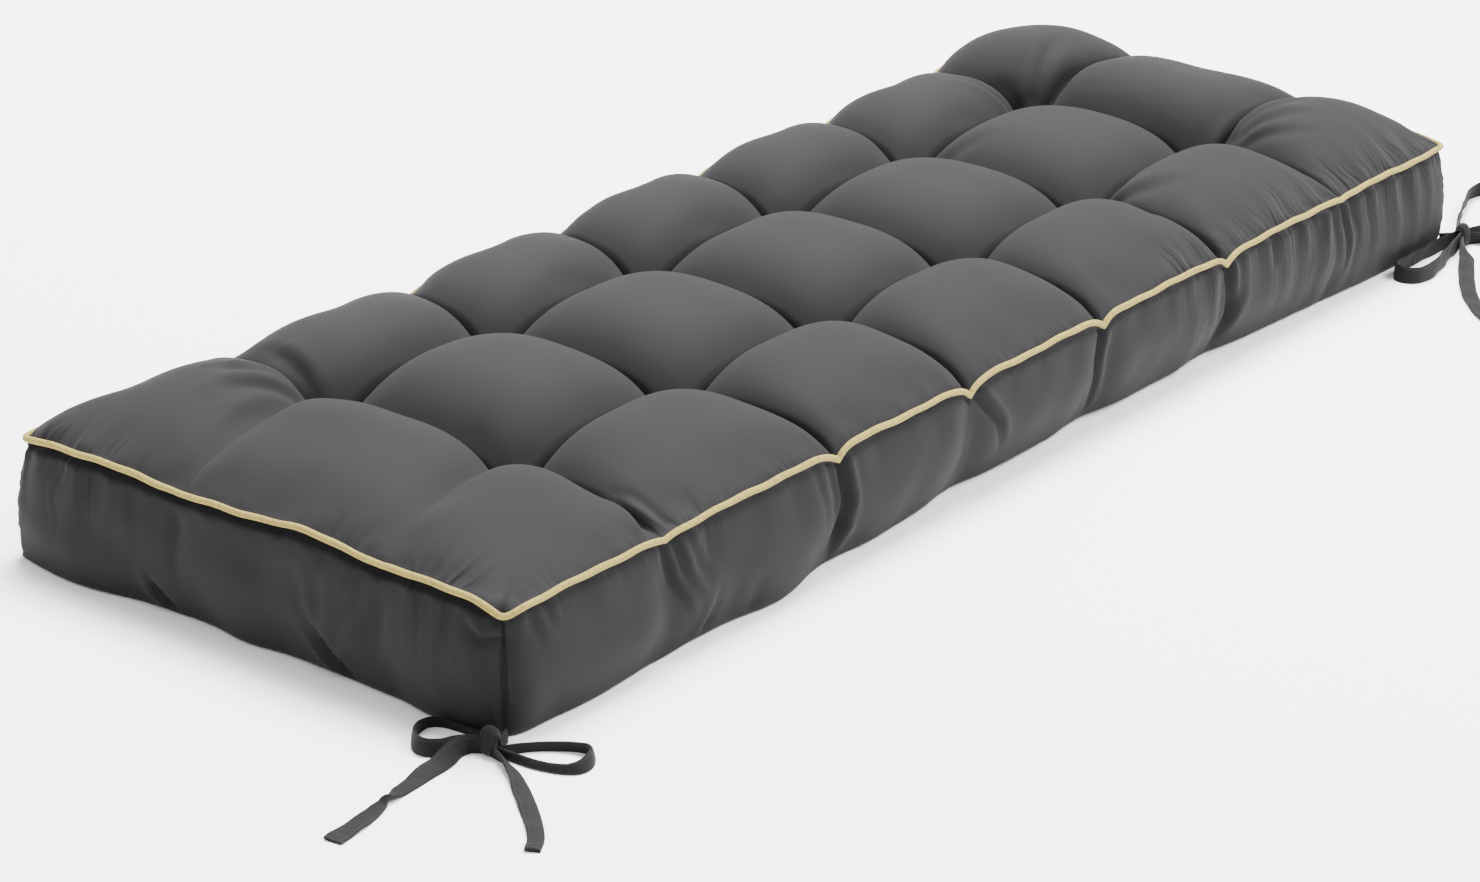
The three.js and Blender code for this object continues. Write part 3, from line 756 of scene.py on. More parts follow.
def bottom_surface(u, v):
    """Points of the underside below the same places of the top."""
    x, y, _ = np.moveaxis(top_surface(u, v), -1, 0)
    to_front, to_back = y + WIDTH / 2, WIDTH / 2 - y
    to_near, to_far = x + LENGTH / 2, LENGTH / 2 - x
    tuck = FRONT_TUCK["depth"] * bell(x - FRONT_TUCK["middle"], FRONT_TUCK["run"], 4)
    tuck = tuck - sum(out * bell(x - place, run) for place, out, run in FRONT_BELLY)
    move_y = (bottom_inset(x, LENGTH, FRONT_NOTCH_X[1:]) + tuck) * fade(to_front, INSET_RUN)
    move_y = move_y - bottom_inset(x, LENGTH, BACK_NOTCH_X) * fade(to_back, INSET_RUN)
    belly = sum(out * bell(y - place, run) for place, out, run in NEAR_BELLY)
    move_x = (bottom_inset(y, WIDTH, []) - belly) * fade(to_near, INSET_RUN)
    move_x = move_x - bottom_inset(y, WIDTH, FAR_NOTCH_Y) * fade(to_far, INSET_RUN)
    to_seam = np.minimum(np.minimum(to_front, to_back), np.minimum(to_near, to_far))
    z = BOTTOM["lift"] * fade(to_seam, BOTTOM["tuck_run"])
    for tuft_x in TUFT_X:
        for tuft_y in TUFT_Y:
            reach = np.hypot(x - tuft_x, y - tuft_y) / BOTTOM_TUFT["run"]
            z = np.maximum(z, BOTTOM_TUFT["lift"] * np.clip(1 - reach**2, 0, 1) ** 2)
    return np.stack([x + move_x, y + move_y, z], -1)


# %% Boxing
BOXING = {
    "power": 0.8, "belly": 1.25, "corner_share": 0.5, "corner_run": 70, "notch_pull": 0.5, "notch_run": 20,
}
SIDES = {
    "front": {"out": (0, -1), "notches": FRONT_NOTCH_X, "swell": 9, "long": True},
    "far": {"out": (1, 0), "notches": FAR_NOTCH_Y, "swell": 9, "long": False},
    "back": {"out": (0, 1), "notches": BACK_NOTCH_X, "swell": 13.2, "long": True},
    "near": {"out": (-1, 0), "notches": NEAR_NOTCH_Y, "swell": 9, "long": False},
}


def boxing_surface(top_seam, bottom_seam, station, t):
    """Rings from the top seam (t = 0) to the bottom one (t = 1), swollen by a sine arc."""
    along = np.where(station["long"], top_seam[:, 0], top_seam[:, 1])
    half_side = np.where(station["long"], LENGTH, WIDTH) / 2
    from_corner = np.clip((half_side - np.abs(along)) / BOXING["corner_run"], 0, 1)
    corner = lerp(BOXING["corner_share"], 1, np.sin(from_corner * math.pi / 2))
    pull = np.zeros_like(along)
    for name, side in SIDES.items():
        here = station["side"] == name
        pull[here] = near_notch(along[here], side["notches"], BOXING["notch_run"])
    outward = station["swell"] * corner * (1 - BOXING["notch_pull"] * pull)
    arc = np.sin(math.pi * t ** BOXING["belly"]) ** BOXING["power"]
    rings = top_seam + (bottom_seam - top_seam) * np.stack([t**2, t**2, t], -1)[:, None]
    rings[..., :2] += arc[:, None, None] * outward[None, :, None] * station["out"][None]
    return rings


# %% [markdown]
# ## The mesh grid
# The steps inside a bulge crowd together beside its creases, where the surface turns most.
# The underside is hidden, so it has half as many points both ways, and a row of triangles
# sews it to the boxing.

# %% Steps, and stations round the cushion
STEPS = {"column": 54, "row": 48, "boxing": 27}
CROWDING = 0.4
BOXING_CROWDING = 1.3
COARSE_EVERY = 2
BOTTOM_MARGIN = 0.03


def crowded(cells, steps):
    """Places from 0 to cells: even steps less a sine, so that they crowd at whole numbers."""
    k = np.arange(cells * steps + 1) / steps
    return k - CROWDING * np.sin(2 * math.pi * k) / (2 * math.pi)


def make_stations(column_steps, row_steps):
    """Grid places round the top, anticlockwise from the near front corner, with their side."""
    low_columns, low_rows = np.arange(column_steps), np.arange(row_steps)
    i = np.concatenate([low_columns, np.full(row_steps, column_steps),
                        column_steps - low_columns, np.zeros(row_steps, int)])
    j = np.concatenate([np.zeros(column_steps, int), low_rows,
                        np.full(column_steps, row_steps), row_steps - low_rows])
    names = np.repeat(list(SIDES), [column_steps, row_steps, column_steps, row_steps])
    out = np.array([SIDES[name]["out"] for name in names], float)
    corners = [0, column_steps, column_steps + row_steps, 2 * column_steps + row_steps]
    out[corners] = [(-1, -1), (1, -1), (1, 1), (-1, 1)]
    return {
        "i": i, "j": j, "side": names, "out": out,
        "swell": np.array([SIDES[name]["swell"] for name in names]),
        "long": np.array([SIDES[name]["long"] for name in names]),
    }


U = crowded(COLUMNS, STEPS["column"])
V = crowded(ROWS, STEPS["row"])
T = np.linspace(0, 1, STEPS["boxing"] + 1) ** BOXING_CROWDING
STATIONS = make_stations(len(U) - 1, len(V) - 1)
print("stations round the seam:", len(STATIONS["i"]))

# %% The plain form
top = top_surface(*np.meshgrid(U, V, indexing="ij"))
coarse_u = np.clip(U[::COARSE_EVERY], BOTTOM_MARGIN, COLUMNS - BOTTOM_MARGIN)
coarse_v = np.clip(V[::COARSE_EVERY], BOTTOM_MARGIN, ROWS - BOTTOM_MARGIN)
bottom = bottom_surface(*np.meshgrid(coarse_u, coarse_v, indexing="ij"))
top_seam = top[STATIONS["i"], STATIONS["j"]]
bottom_seam = bottom_surface(U[STATIONS["i"]], V[STATIONS["j"]])
boxing = boxing_surface(top_seam, bottom_seam, STATIONS, T)
print("grid of the top:", top.shape[:2], "boxing:", boxing.shape[:2], "underside:", bottom.shape[:2])

# %% [markdown]
# ## Filling the cover
# A real cover is cut a little larger than its form and stuffed until it is tight, so between
# its seams and stitches it finds its own swellings and pulls. The cloth simulation does the
# same: the drawn form is the cut cover, its seams and tufts are pinned, its creases are held
# loosely, the cloth is two hundredths too large, and air presses it out from inside. It
# runs without weight, because the filling carries the cloth. Simulating every grid point
# would take minutes, so every third line is used, and a cubic curve carries the movement to
# the lines between.

# %% From the simulated grid to the fine one
SIMULATION = {"every": 3, "frames": 20, "pressure": 4, "slack": 0.02, "cap": 2.5, "quality": 6}


def spread_weights(count, every, closed):
    """Weights that carry values known on every third line to all lines, by a cubic curve."""
    known = count // every if closed else (count - 1) // every + 1
    places = np.arange(count) / every
    first = places.astype(int)
    t = places - first
    shares = [(2 * t**2 - t - t**3) / 2, (2 - 5 * t**2 + 3 * t**3) / 2,
              (t + 4 * t**2 - 3 * t**3) / 2, (t**3 - t**2) / 2]
    weights = np.zeros((count, known))
    for step, share in zip((-1, 0, 1, 2), shares):
        index = (first + step) % known if closed else np.clip(first + step, 0, known - 1)
        np.add.at(weights, (np.arange(count), index), share)
    return weights


def carry_over(moved, rows, columns, closed):
    """The coarse movement on the fine grid: a cubic along the rows and along the columns.

    First each point takes a quarter of the movement of its neighbours on both sides and half
    of its own, because the coarse net shows its own cells as small lumps.
    """
    for axis in (0, 1):
        padded = np.pad(moved, [(1, 1) if a == axis else (0, 0) for a in range(3)],
                        mode="wrap" if closed and axis == 1 else "edge")
        before, after = (np.take(padded, np.arange(moved.shape[axis]) + step, axis) for step in (0, 2))
        moved = moved / 2 + (before + after) / 4
    down = spread_weights(rows, SIMULATION["every"], False)
    along = spread_weights(columns, SIMULATION["every"], closed)
    return np.einsum("ri,ijk,cj->rck", down, moved, along)


# %% How firmly the cloth is held
HOLD = {"crease": 0.6, "crease_run": 13, "tuft_run": 16, "boxing": 0.45, "boxing_run": 16}


def crease_distance(u, v):
    """Distances, in millimetres of the plan, to the nearest lines across and along."""
    across = np.abs(u - np.clip(np.round(u), 1, COLUMNS - 1)) * TUFT_PITCH
    along = np.abs(v - np.clip(np.round(v), 1, ROWS - 1)) * TUFT_PITCH
    return across, along


def pin_weights(every):
    """How firmly each point is held: 1 at seams and tufts, less along the creases."""
    u, v = np.meshgrid(U[::every], V[::every], indexing="ij")
    across, along = crease_distance(u, v)
    crease = HOLD["crease"] * bell(np.minimum(across, along), HOLD["crease_run"])
    tuft = bell(np.hypot(across, along), HOLD["tuft_run"], 4)
    on_top = np.maximum(crease, tuft)
    on_top[[0, -1]] = 1
    on_top[:, [0, -1]] = 1
    on_boxing = np.zeros(boxing[::every, ::every].shape[:2])
    for name, side in SIDES.items():
        here = STATIONS["side"][::every] == name
        along = boxing[0, ::every][here, 0 if side["long"] else 1]
        on_boxing[:, here] = HOLD["boxing"] * near_notch(along, side["notches"], HOLD["boxing_run"])
    on_boxing[[0, -1]] = 1
    return on_top, on_boxing


# %% Cloth simulation
def coarse_cover():
    """The cover that is simulated, from every third line of the grids, and its points."""
    every = SIMULATION["every"]
    coarse_top, coarse_boxing = top[::every, ::every], boxing[::every, ::every]
    station = make_stations(coarse_top.shape[0] - 1, coarse_top.shape[1] - 1)
    index = np.arange(coarse_top.size // 3).reshape(coarse_top.shape[:2])
    rings = index.size + np.arange(coarse_boxing[1:].size // 3).reshape(coarse_boxing[1:].shape[:2])
    rings = np.vstack([index[station["i"], station["j"]], rings])
    faces = [grid_quads(index), grid_quads(np.hstack([rings, rings[:, :1]]))]
    points = np.concatenate([coarse_top.reshape(-1, 3), coarse_boxing[1:].reshape(-1, 3)])
    corners = sum(group.size for group in faces)
    return make_piece("simulated_cover", points, faces, np.zeros((corners, 2))), points


def pin_cover(cover):
    """Writes how firmly each point is held into a vertex group, in steps of a hundredth."""
    pins = cover.vertex_groups.new(name="pins")
    on_top, on_boxing = pin_weights(SIMULATION["every"])
    weights = np.round(np.concatenate([on_top.ravel(), on_boxing[1:].ravel()]), 2)
    for level in np.unique(weights[weights > 0]):
        pins.add(np.flatnonzero(weights == level).tolist(), float(level), "REPLACE")


def simulate_filling():
    """Blows the coarse cover up and returns how far the points of its top and boxing moved.

    A move is capped smoothly: it becomes the cap times the hyperbolic tangent of move / cap.
    """
    cover, points = coarse_cover()
    pin_cover(cover)
    cloth = cover.modifiers.new("cloth", "CLOTH").settings
    cloth.quality = SIMULATION["quality"]
    cloth.vertex_group_mass = "pins"
    cloth.use_pressure = True
    cloth.uniform_pressure_force = SIMULATION["pressure"]
    cloth.shrink_min = -SIMULATION["slack"]
    cloth.effector_weights.gravity = 0
    for frame_number in range(1, SIMULATION["frames"] + 1):
        bpy.context.scene.frame_set(frame_number)
    blown = cover.evaluated_get(bpy.context.evaluated_depsgraph_get()).data
    moved = np.empty(len(points) * 3, np.float32)
    blown.vertices.foreach_get("co", moved)
    moved = moved.reshape(-1, 3) / MM - points
    bpy.context.scene.frame_set(1)
    bpy.data.objects.remove(cover)
    length = np.linalg.norm(moved, axis=1, keepdims=True)
    moved = moved * SIMULATION["cap"] * np.tanh(length / SIMULATION["cap"]) / np.maximum(length, 1e-9)
    every = SIMULATION["every"]
    top_shape, boxing_shape = top[::every, ::every].shape, boxing[::every, ::every].shape
    on_top = math.prod(top_shape[:2])
    moved_boxing = np.zeros(boxing_shape)
    moved_boxing[1:] = moved[on_top:].reshape(moved_boxing[1:].shape)
    return moved[:on_top].reshape(top_shape), moved_boxing


moved_top, moved_boxing = simulate_filling()
top = top + carry_over(moved_top, *top.shape[:2], False)
boxing = boxing + carry_over(moved_boxing, *boxing.shape[:2], True)
print("the filling moved the top by up to", round(float(np.abs(moved_top).max()), 1), "mm")

# %% [markdown]
# ## Folds, creases and gathers
# Cloth that is pulled down at one point folds in rays round it, and cloth sewn to a shorter
# edge stands in small gathers beside the seam. Both are far finer than the simulated net, so
# they are laid on afterwards, as the surface's own depth along its normal. The main folds are
# listed one by one, each as a line with a depth and a width. The gathers are random, from a
# fixed seed, so that every run sews the same cushion.

# %% Folds of the top
# Each fold of the top: the line it follows in plan, its depth, and its width
TOP_FOLDS = [
    ([(-519, 158), (-510, 135), (-482, 108)], 3.6, 6),
    ([(-545, 128), (-515, 108), (-480, 98)], 4, 6),
    ([(-441, 178), (-452, 140), (-464, 102)], 3, 6),
    ([(-488, 92), (-560, 90), (-636, 72)], 4, 12),
    ([(-480, 100), (-560, 118), (-610, 96)], 3, 9),
    ([(-484, -236), (-474, -208), (-462, -176)], 4, 4),
    ([(-458, -236), (-460, -208), (-462, -180)], 3, 4),
    ([(462, 98), (440, 125), (426, 158)], 5, 7),
    ([(470, 100), (476, 135), (470, 170)], 4, 7),
    ([(474, 96), (520, 112), (560, 122)], 5, 8),
    ([(474, 88), (530, 84), (600, 76)], 5, 9),
    ([(474, -98), (520, -108), (572, -112)], 5, 5),
    ([(474, -108), (520, -126), (570, -138)], 5, 5),
    ([(476, -118), (512, -146), (550, -166)], 4, 5),
    ([(470, -124), (492, -160), (520, -190)], 3, 5),
    ([(280, 86), (300, 60), (330, 30)], 3, 9),
    ([(280, -98), (300, -140), (330, -170)], 4, 8),
    ([(286, -98), (268, -150), (250, -190)], 4, 8),
]
FOLD_RIDGE = {"share": 0.6, "aside": 1.7, "width": 1.3}
FOLD_START = {"share": 0.12, "least": 0.35}


def fold_depth(place, folds):
    """Depth laid on by listed folds: a bell-shaped groove with a ridge on its left.

    place holds two numbers for each point, and each fold is a chain of straight pieces. A
    point takes its distance from the nearest piece, and the fold fades out along the chain.
    """
    total = np.zeros(place.shape[:-1])
    for line, depth, width in folds:
        chain = np.array(line, float)
        walked = outline_length(chain)
        best = np.full(total.shape, np.inf)
        signed, share = np.zeros(total.shape), np.zeros(total.shape)
        for first, last, before in zip(chain[:-1], chain[1:], walked[:-1]):
            step = last - first
            length = np.hypot(*step)
            along = np.clip(((place - first) @ step) / length**2, 0, 1)
            away = place - first - along[..., None] * step
            distance = np.hypot(away[..., 0], away[..., 1])
            left = np.sign(step[0] * away[..., 1] - step[1] * away[..., 0])
            closer = distance < best
            best = np.where(closer, distance, best)
            signed = np.where(closer, distance * left, signed)
            share = np.where(closer, (before + along * length) / walked[-1], share)
        strength = np.clip(share / FOLD_START["share"], FOLD_START["least"], 1) * (1 - share**2)
        aside = signed - FOLD_RIDGE["aside"] * width
        ridge = FOLD_RIDGE["share"] * bell(aside, FOLD_RIDGE["width"] * width)
        total += depth * strength * (ridge - bell(signed, width))
    return total


# %% Slits in the creases
# Depth of the slit at the bottom of each crease, along the cushion and then across it
SLIT_ALONG = np.array([
    [0, 0], [9, 14], [10, 14], [10, 14], [10, 12], [10, 13], [13, 8],
])
SLIT_ACROSS = np.array([
    [7, 12, 3], [14, 15, 9], [15, 15, 10], [15, 15, 9], [15, 15, 9], [12, 14, 9],
])
SLIT = {"width": 2.4, "from_end": 10, "from_side": 8}


def slit_depth(u, v):
    """Depth of the slits: a bell across each crease, which fades out close to the seams."""
    total = np.zeros(u.shape)
    column = np.minimum(u.astype(int), COLUMNS - 1)
    row = np.minimum(v.astype(int), ROWS - 1)
    from_end = np.clip(SLIT["from_end"] * np.minimum(u, COLUMNS - u), 0, 1)
    from_side = np.clip(SLIT["from_side"] * np.minimum(v, ROWS - v), 0, 1)
    for line in range(1, ROWS):
        across = bell((v - line) * TUFT_PITCH, SLIT["width"])
        total = np.maximum(total, across * SLIT_ALONG[column, line - 1] * from_end)
    for line in range(1, COLUMNS):
        across = bell((u - line) * TUFT_PITCH, SLIT["width"])
        total = np.maximum(total, across * SLIT_ACROSS[line - 1, row] * from_side)
    return -total


# %% Gathers beside the seams
random = np.random.default_rng(11)
GATHER = {
    "shortest": 11, "longest": 22, "lowest": 0.25, "plain": 0.5, "most": 1.5,
    "run": 26, "reach": 40, "depth": 1.7,
}
# Where the gathers are strongest: side, place along it, how much more, and run
STRONG_GATHERS = [
    ("front", 430, 1.5, 130), ("front", 235, 1.2, 45), ("front", -610, 0.5, 40), ("front", -450, 0.6, 40),
    ("near", 185, 1.0, 60), ("near", -190, 1.0, 50), ("near", -95, 0.6, 30), ("far", 0, 0.7, 200),
    ("front", 580, 1.0, 50), ("back", 500, 0.4, 60),
]


def gather_wave(walked, length):
    """A wave along a seam whose pleats are 11 to 22 mm apart and of uneven height."""
    count = int(length / GATHER["shortest"])
    gaps = random.uniform(GATHER["shortest"], GATHER["longest"], count)
    crests = np.concatenate([[0], np.cumsum(gaps)])
    crests = crests[crests < length]
    past_end = length * 1.2
    crests = np.append(crests * length / crests[-1], past_end)
    heights = random.uniform(GATHER["lowest"], 1, len(crests))
    phase = np.interp(walked, crests, np.arange(len(crests)))
    return np.sin(math.pi * phase) * np.interp(walked, crests, heights)


def gather_strength(station, seam):
    """Strength round the seam: plain, plus bells where the cloth is gathered more."""
    strength = np.full(len(seam), GATHER["plain"])
    for name, place, more, run in STRONG_GATHERS:
        along = seam[:, 0] if SIDES[name]["long"] else seam[:, 1]
        strength += np.where(station["side"] == name, more * bell(along - place, run), 0)
    return strength


def gather_run(plain, strength, reach=GATHER["reach"]):
    """How far the gathers run in from the seam: further where they are stronger."""
    return plain + reach * np.clip(strength - GATHER["plain"], 0, GATHER["most"])


# %% Slow unevenness
UNDULATION = {"waves": 9, "longest": 170, "shortest": 70, "depth": 0.45, "upright": 3}


def undulation(x, y):
    """Slow unevenness of stuffed cloth: a sum of plane waves in random directions."""
    total = np.zeros(x.shape)
    for _ in range(UNDULATION["waves"]):
        turn, phase = random.uniform(0, 2 * math.pi, 2)
        wave = 2 * math.pi / random.uniform(UNDULATION["shortest"], UNDULATION["longest"])
        total += np.sin((x * math.cos(turn) + y * math.sin(turn)) * wave + phase)
    return total * UNDULATION["depth"] / math.sqrt(UNDULATION["waves"])


def surface_normals(grid):
    """Unit normals of a grid, from the cross product of its two central differences."""
    return unit(np.cross(np.gradient(grid, axis=0), np.gradient(grid, axis=1)))


# %% Fold the top
# No fold moves the seam itself: it is kept within this distance, in millimetres
SEAM_KEPT = {"top": 4, "boxing": 3}


def on_side(values, name):
    """Values of the stations along one side, corners included, laid over the top's grid."""
    here = np.flatnonzero(STATIONS["side"] == name)
    values = values[np.append(here, (here[-1] + 1) % len(values))]
    values = values if name in ("front", "far") else values[::-1]
    return values[:, None] if SIDES[name]["long"] else values[None]


def fold_top(top, wave, strength):
    """Moves the top along its normals by folds, gathers and the slow unevenness, then slits it."""
    u, v = np.meshgrid(U, V, indexing="ij")
    depth = fold_depth(top[..., :2], TOP_FOLDS) + undulation(top[..., 0], top[..., 1])
    gather = np.zeros(u.shape)
    for name, away in {"front": v, "far": COLUMNS - u, "back": ROWS - v, "near": u}.items():
        run = on_side(gather_run(GATHER["run"], strength), name)
        gather += on_side(wave * strength, name) * GATHER["depth"] * fade(away * TUFT_PITCH, run)
    to_seam = np.minimum(np.minimum(u, COLUMNS - u), np.minimum(v, ROWS - v)) * TUFT_PITCH
    loose = 1 - bell(to_seam, SEAM_KEPT["top"])
    folded = top + surface_normals(top) * ((depth + gather) * loose)[..., None]
    folded[..., 2] += slit_depth(u, v) * loose
    return folded


# %% Folds of the boxing
# By side: place along and height of each point, depth, and width
BOXING_FOLDS = {
    "front": [
        ([(-478, 94), (-470, 60), (-448, 20)], 4.5, 4), ([(-466, 94), (-457, 60), (-436, 26)], 3.5, 4),
        ([(-452, 94), (-441, 64), (-428, 40)], 2, 4), ([(-432, 6), (-424, 26), (-420, 44)], 3, 4),
        ([(-300, 94), (-292, 60), (-288, 36)], 1.8, 4), ([(-284, 94), (-274, 60), (-276, 30)], 2.6, 4),
        ([(-268, 92), (-262, 55), (-272, 4)], 7, 4.2), ([(-262, 40), (-280, 12)], 4, 6),
        ([(-98, 92), (-66, 55), (-52, 20)], 6.5, 4), ([(87, 90), (78, 60), (86, 6)], 5.5, 4),
        ([(276, 92), (284, 40), (270, 6)], 6.5, 4), ([(290, 60), (278, 8)], 4, 6),
        ([(462, 92), (466, 60), (463, 20)], 4, 3.5),
        ([(-620, 90), (-612, 60)], 2, 4), ([(-604, 92), (-600, 70)], 2, 4), ([(-380, 6), (-372, 40)], 2, 7),
        ([(350, 92), (345, 60)], 3, 5), ([(390, 92), (392, 65)], 3, 5), ([(430, 92), (424, 62)], 3, 5),
    ],
    "near": [
        ([(98, 24), (88, 14), (74, 0)], 7, 3), ([(116, 84), (108, 60), (104, 36)], 0.8, 5),
        ([(70, 84), (72, 50), (66, 20)], 0.8, 5), ([(-66, 32), (-84, 14), (-106, -1)], 8, 3.4),
        ([(-66, 26), (-56, 50), (-46, 84)], 2.6, 4.5), ([(-70, 28), (-72, 55), (-70, 84)], 2.6, 5),
        ([(-76, 24), (-98, 50), (-116, 84)], 2, 5), ([(-243, 80), (-231, 74), (-219, 73), (-206, 84)], 6, 3),
    ],
    "far": [([(-110, 92), (-104, 40), (-110, 4)], 4, 7), ([(76, 92), (70, 40), (78, 4)], 4, 7)],
    "back": [([(x, 88), (x + 6, 45), (x - 4, 4)], 4, 7) for x in BACK_NOTCH_X],
}

# %% Fold the boxing
# A corner seam: depth and width of its groove, and the width marked on each side for its painted shade
CORNER_SEAM = {"depth": 2.4, "width": 1.1, "mark": 6}
PUCKER = {"depth": 0.6, "every": 11, "run": 20, "uneven": 2, "wave": 2.3}
# The groove below the piping: its depth by side, how far down it is, and its ragged half width
UNDER_PIPING = {"near": 11, "far": 3, "front": 2.4, "back": 2}
GROOVE = {"below": 3.5, "width": 3.1, "ragged": 1.1}


def corner_puckers(height, away):
    """Small uneven dents up each corner seam: a sine of a height that itself wavers."""
    up = height / PUCKER["every"]
    wave = np.sin(2 * math.pi * up + PUCKER["uneven"] * np.sin(PUCKER["wave"] * up))
    return PUCKER["depth"] * wave * fade(away, PUCKER["run"])


def fold_boxing(boxing, wave, strength, away):
    """Moves the boxing out or in by folds, gathers, corner seams and the groove below the piping.

    away is each station's distance from its nearest corner.
    """
    depth = np.zeros(boxing.shape[:2])
    below = SEAM_HEIGHT * T[:, None]
    for name, side in SIDES.items():
        here = STATIONS["side"] == name
        along, height = boxing[:, here, 0 if side["long"] else 1], boxing[:, here, 2]
        depth[:, here] = fold_depth(np.stack([along, height], -1), BOXING_FOLDS[name])
        depth[:, here] += undulation(along, UNDULATION["upright"] * height)
        groove = bell(below - GROOVE["below"], GROOVE["width"] + GROOVE["ragged"] * wave[here], 4)
        depth[:, here] -= UNDER_PIPING[name] * groove
    depth += corner_puckers(boxing[..., 2], away)
    depth -= CORNER_SEAM["depth"] * bell(away, CORNER_SEAM["width"])
    run = gather_run(GATHER["run"], strength, 2 * GATHER["reach"])
    depth += wave * strength * GATHER["depth"] * fade(below, run)
    loose = 1 - bell(np.minimum(below, SEAM_HEIGHT - below), SEAM_KEPT["boxing"])
    return boxing + STATIONS["out"][None] @ np.eye(2, 3) * (depth * loose)[..., None]


# %% Lay them all on
SIDE_STARTS = np.cumsum([0] + [np.sum(STATIONS["side"] == name) for name in SIDES])


def corner_distance(walked):
    """Distance along the seam from each station to its nearest corner."""
    away = np.abs(walked[:-1] - walked[SIDE_STARTS[:-1], None])
    return np.minimum(away, walked[-1] - away).min(axis=0)


walked_seam = outline_length(np.vstack([top_seam, top_seam[:1]]))
to_corner = corner_distance(walked_seam)
seam_wave = gather_wave(walked_seam[:-1], walked_seam[-1])
seam_strength = gather_strength(STATIONS, top_seam)
top = fold_top(top, seam_wave, seam_strength)
boxing = fold_boxing(boxing, seam_wave, seam_strength, to_corner)
print("folds laid on:", len(TOP_FOLDS) + sum(len(folds) for folds in BOXING_FOLDS.values()))

# %% [markdown]
# ## One closed cover
# The top, the boxing and the underside share their seam points, so the cover is one closed
# mesh without a gap or a doubled edge. Its UV map is the cloth as it was cut: each panel is
# laid out at its real size, so a weave keeps its thread spacing over every bulge.

# %% Faces and places on the cloth
def cushion_faces(top_shape, ring_count, station, bottom_shape):
    """Face groups of the closed cover, in the order top, boxing, sewn row, underside."""
    top_index = np.arange(top_shape[0] * top_shape[1]).reshape(top_shape)
    stations = len(station["i"])
    first_free = top_index.size
    rings = first_free + np.arange((ring_count - 1) * stations).reshape(-1, stations)
    rings = np.vstack([top_index[station["i"], station["j"]], rings])
    closed = np.hstack([rings, rings[:, :1]])
    bottom_index = first_free + (ring_count - 1) * stations
    bottom_index = bottom_index + np.arange(bottom_shape[0] * bottom_shape[1]).reshape(bottom_shape)
    coarse = make_stations(bottom_shape[0] - 1, bottom_shape[1] - 1)
    inner = bottom_index[coarse["i"], coarse["j"]]
    inner_next = np.roll(inner, -1)
    seam = rings[-1]
    first, middle, last = seam[0::2], seam[1::2], np.roll(seam, -2)[0::2]
    sewn = np.concatenate([
        np.stack([first, inner, middle], 1),
        np.stack([middle, inner, inner_next], 1),
        np.stack([middle, inner_next, last], 1),
    ])
    return [grid_quads(top_index), grid_quads(closed), sewn, grid_quads(bottom_index)[:, ::-1]]


def cushion_uv(faces, top, boxing, bottom):
    """Places on the cut cloth in metres: each panel has its own lengths along and across."""
    top_u = outline_length(top[:, top.shape[1] // 2])
    top_v = outline_length(top[top.shape[0] // 2])
    round_seam = outline_length(np.vstack([boxing[0], boxing[0, :1]]))
    down = outline_length(boxing[:, boxing.shape[1] // 16])
    top_uv = np.stack(np.meshgrid(top_u, top_v, indexing="ij"), -1).reshape(-1, 2)
    ring_uv = np.stack(np.broadcast_arrays(round_seam[None], down[:, None]), -1)
    side_uv = np.stack([ring_uv[:-1, :-1], ring_uv[1:, :-1], ring_uv[1:, 1:], ring_uv[:-1, 1:]], -2)
    flat = np.concatenate([top[..., :2].reshape(-1, 2), boxing[1:, :, :2].reshape(-1, 2),
                           bottom[..., :2].reshape(-1, 2)])
    return np.concatenate([
        top_uv[faces[0].ravel()], side_uv.reshape(-1, 2), flat[faces[2].ravel()], flat[faces[3].ravel()],
    ]) * MM


def build_cushion(name, top, boxing, bottom):
    """One closed mesh from the three point arrays."""
    faces = cushion_faces(top.shape[:2], len(boxing), STATIONS, bottom.shape[:2])
    points = np.concatenate([top.reshape(-1, 3), boxing[1:].reshape(-1, 3), bottom.reshape(-1, 3)])
    return make_piece(name, points, faces, cushion_uv(faces, top, boxing, bottom))


# %% Marks for the finest gathers
# On the boxing they are fainter, and where two seams are equally near they fade out
MARK = {"run": 20, "boxing_share": 0.35, "boxing_less": 0.7, "shared": 8}


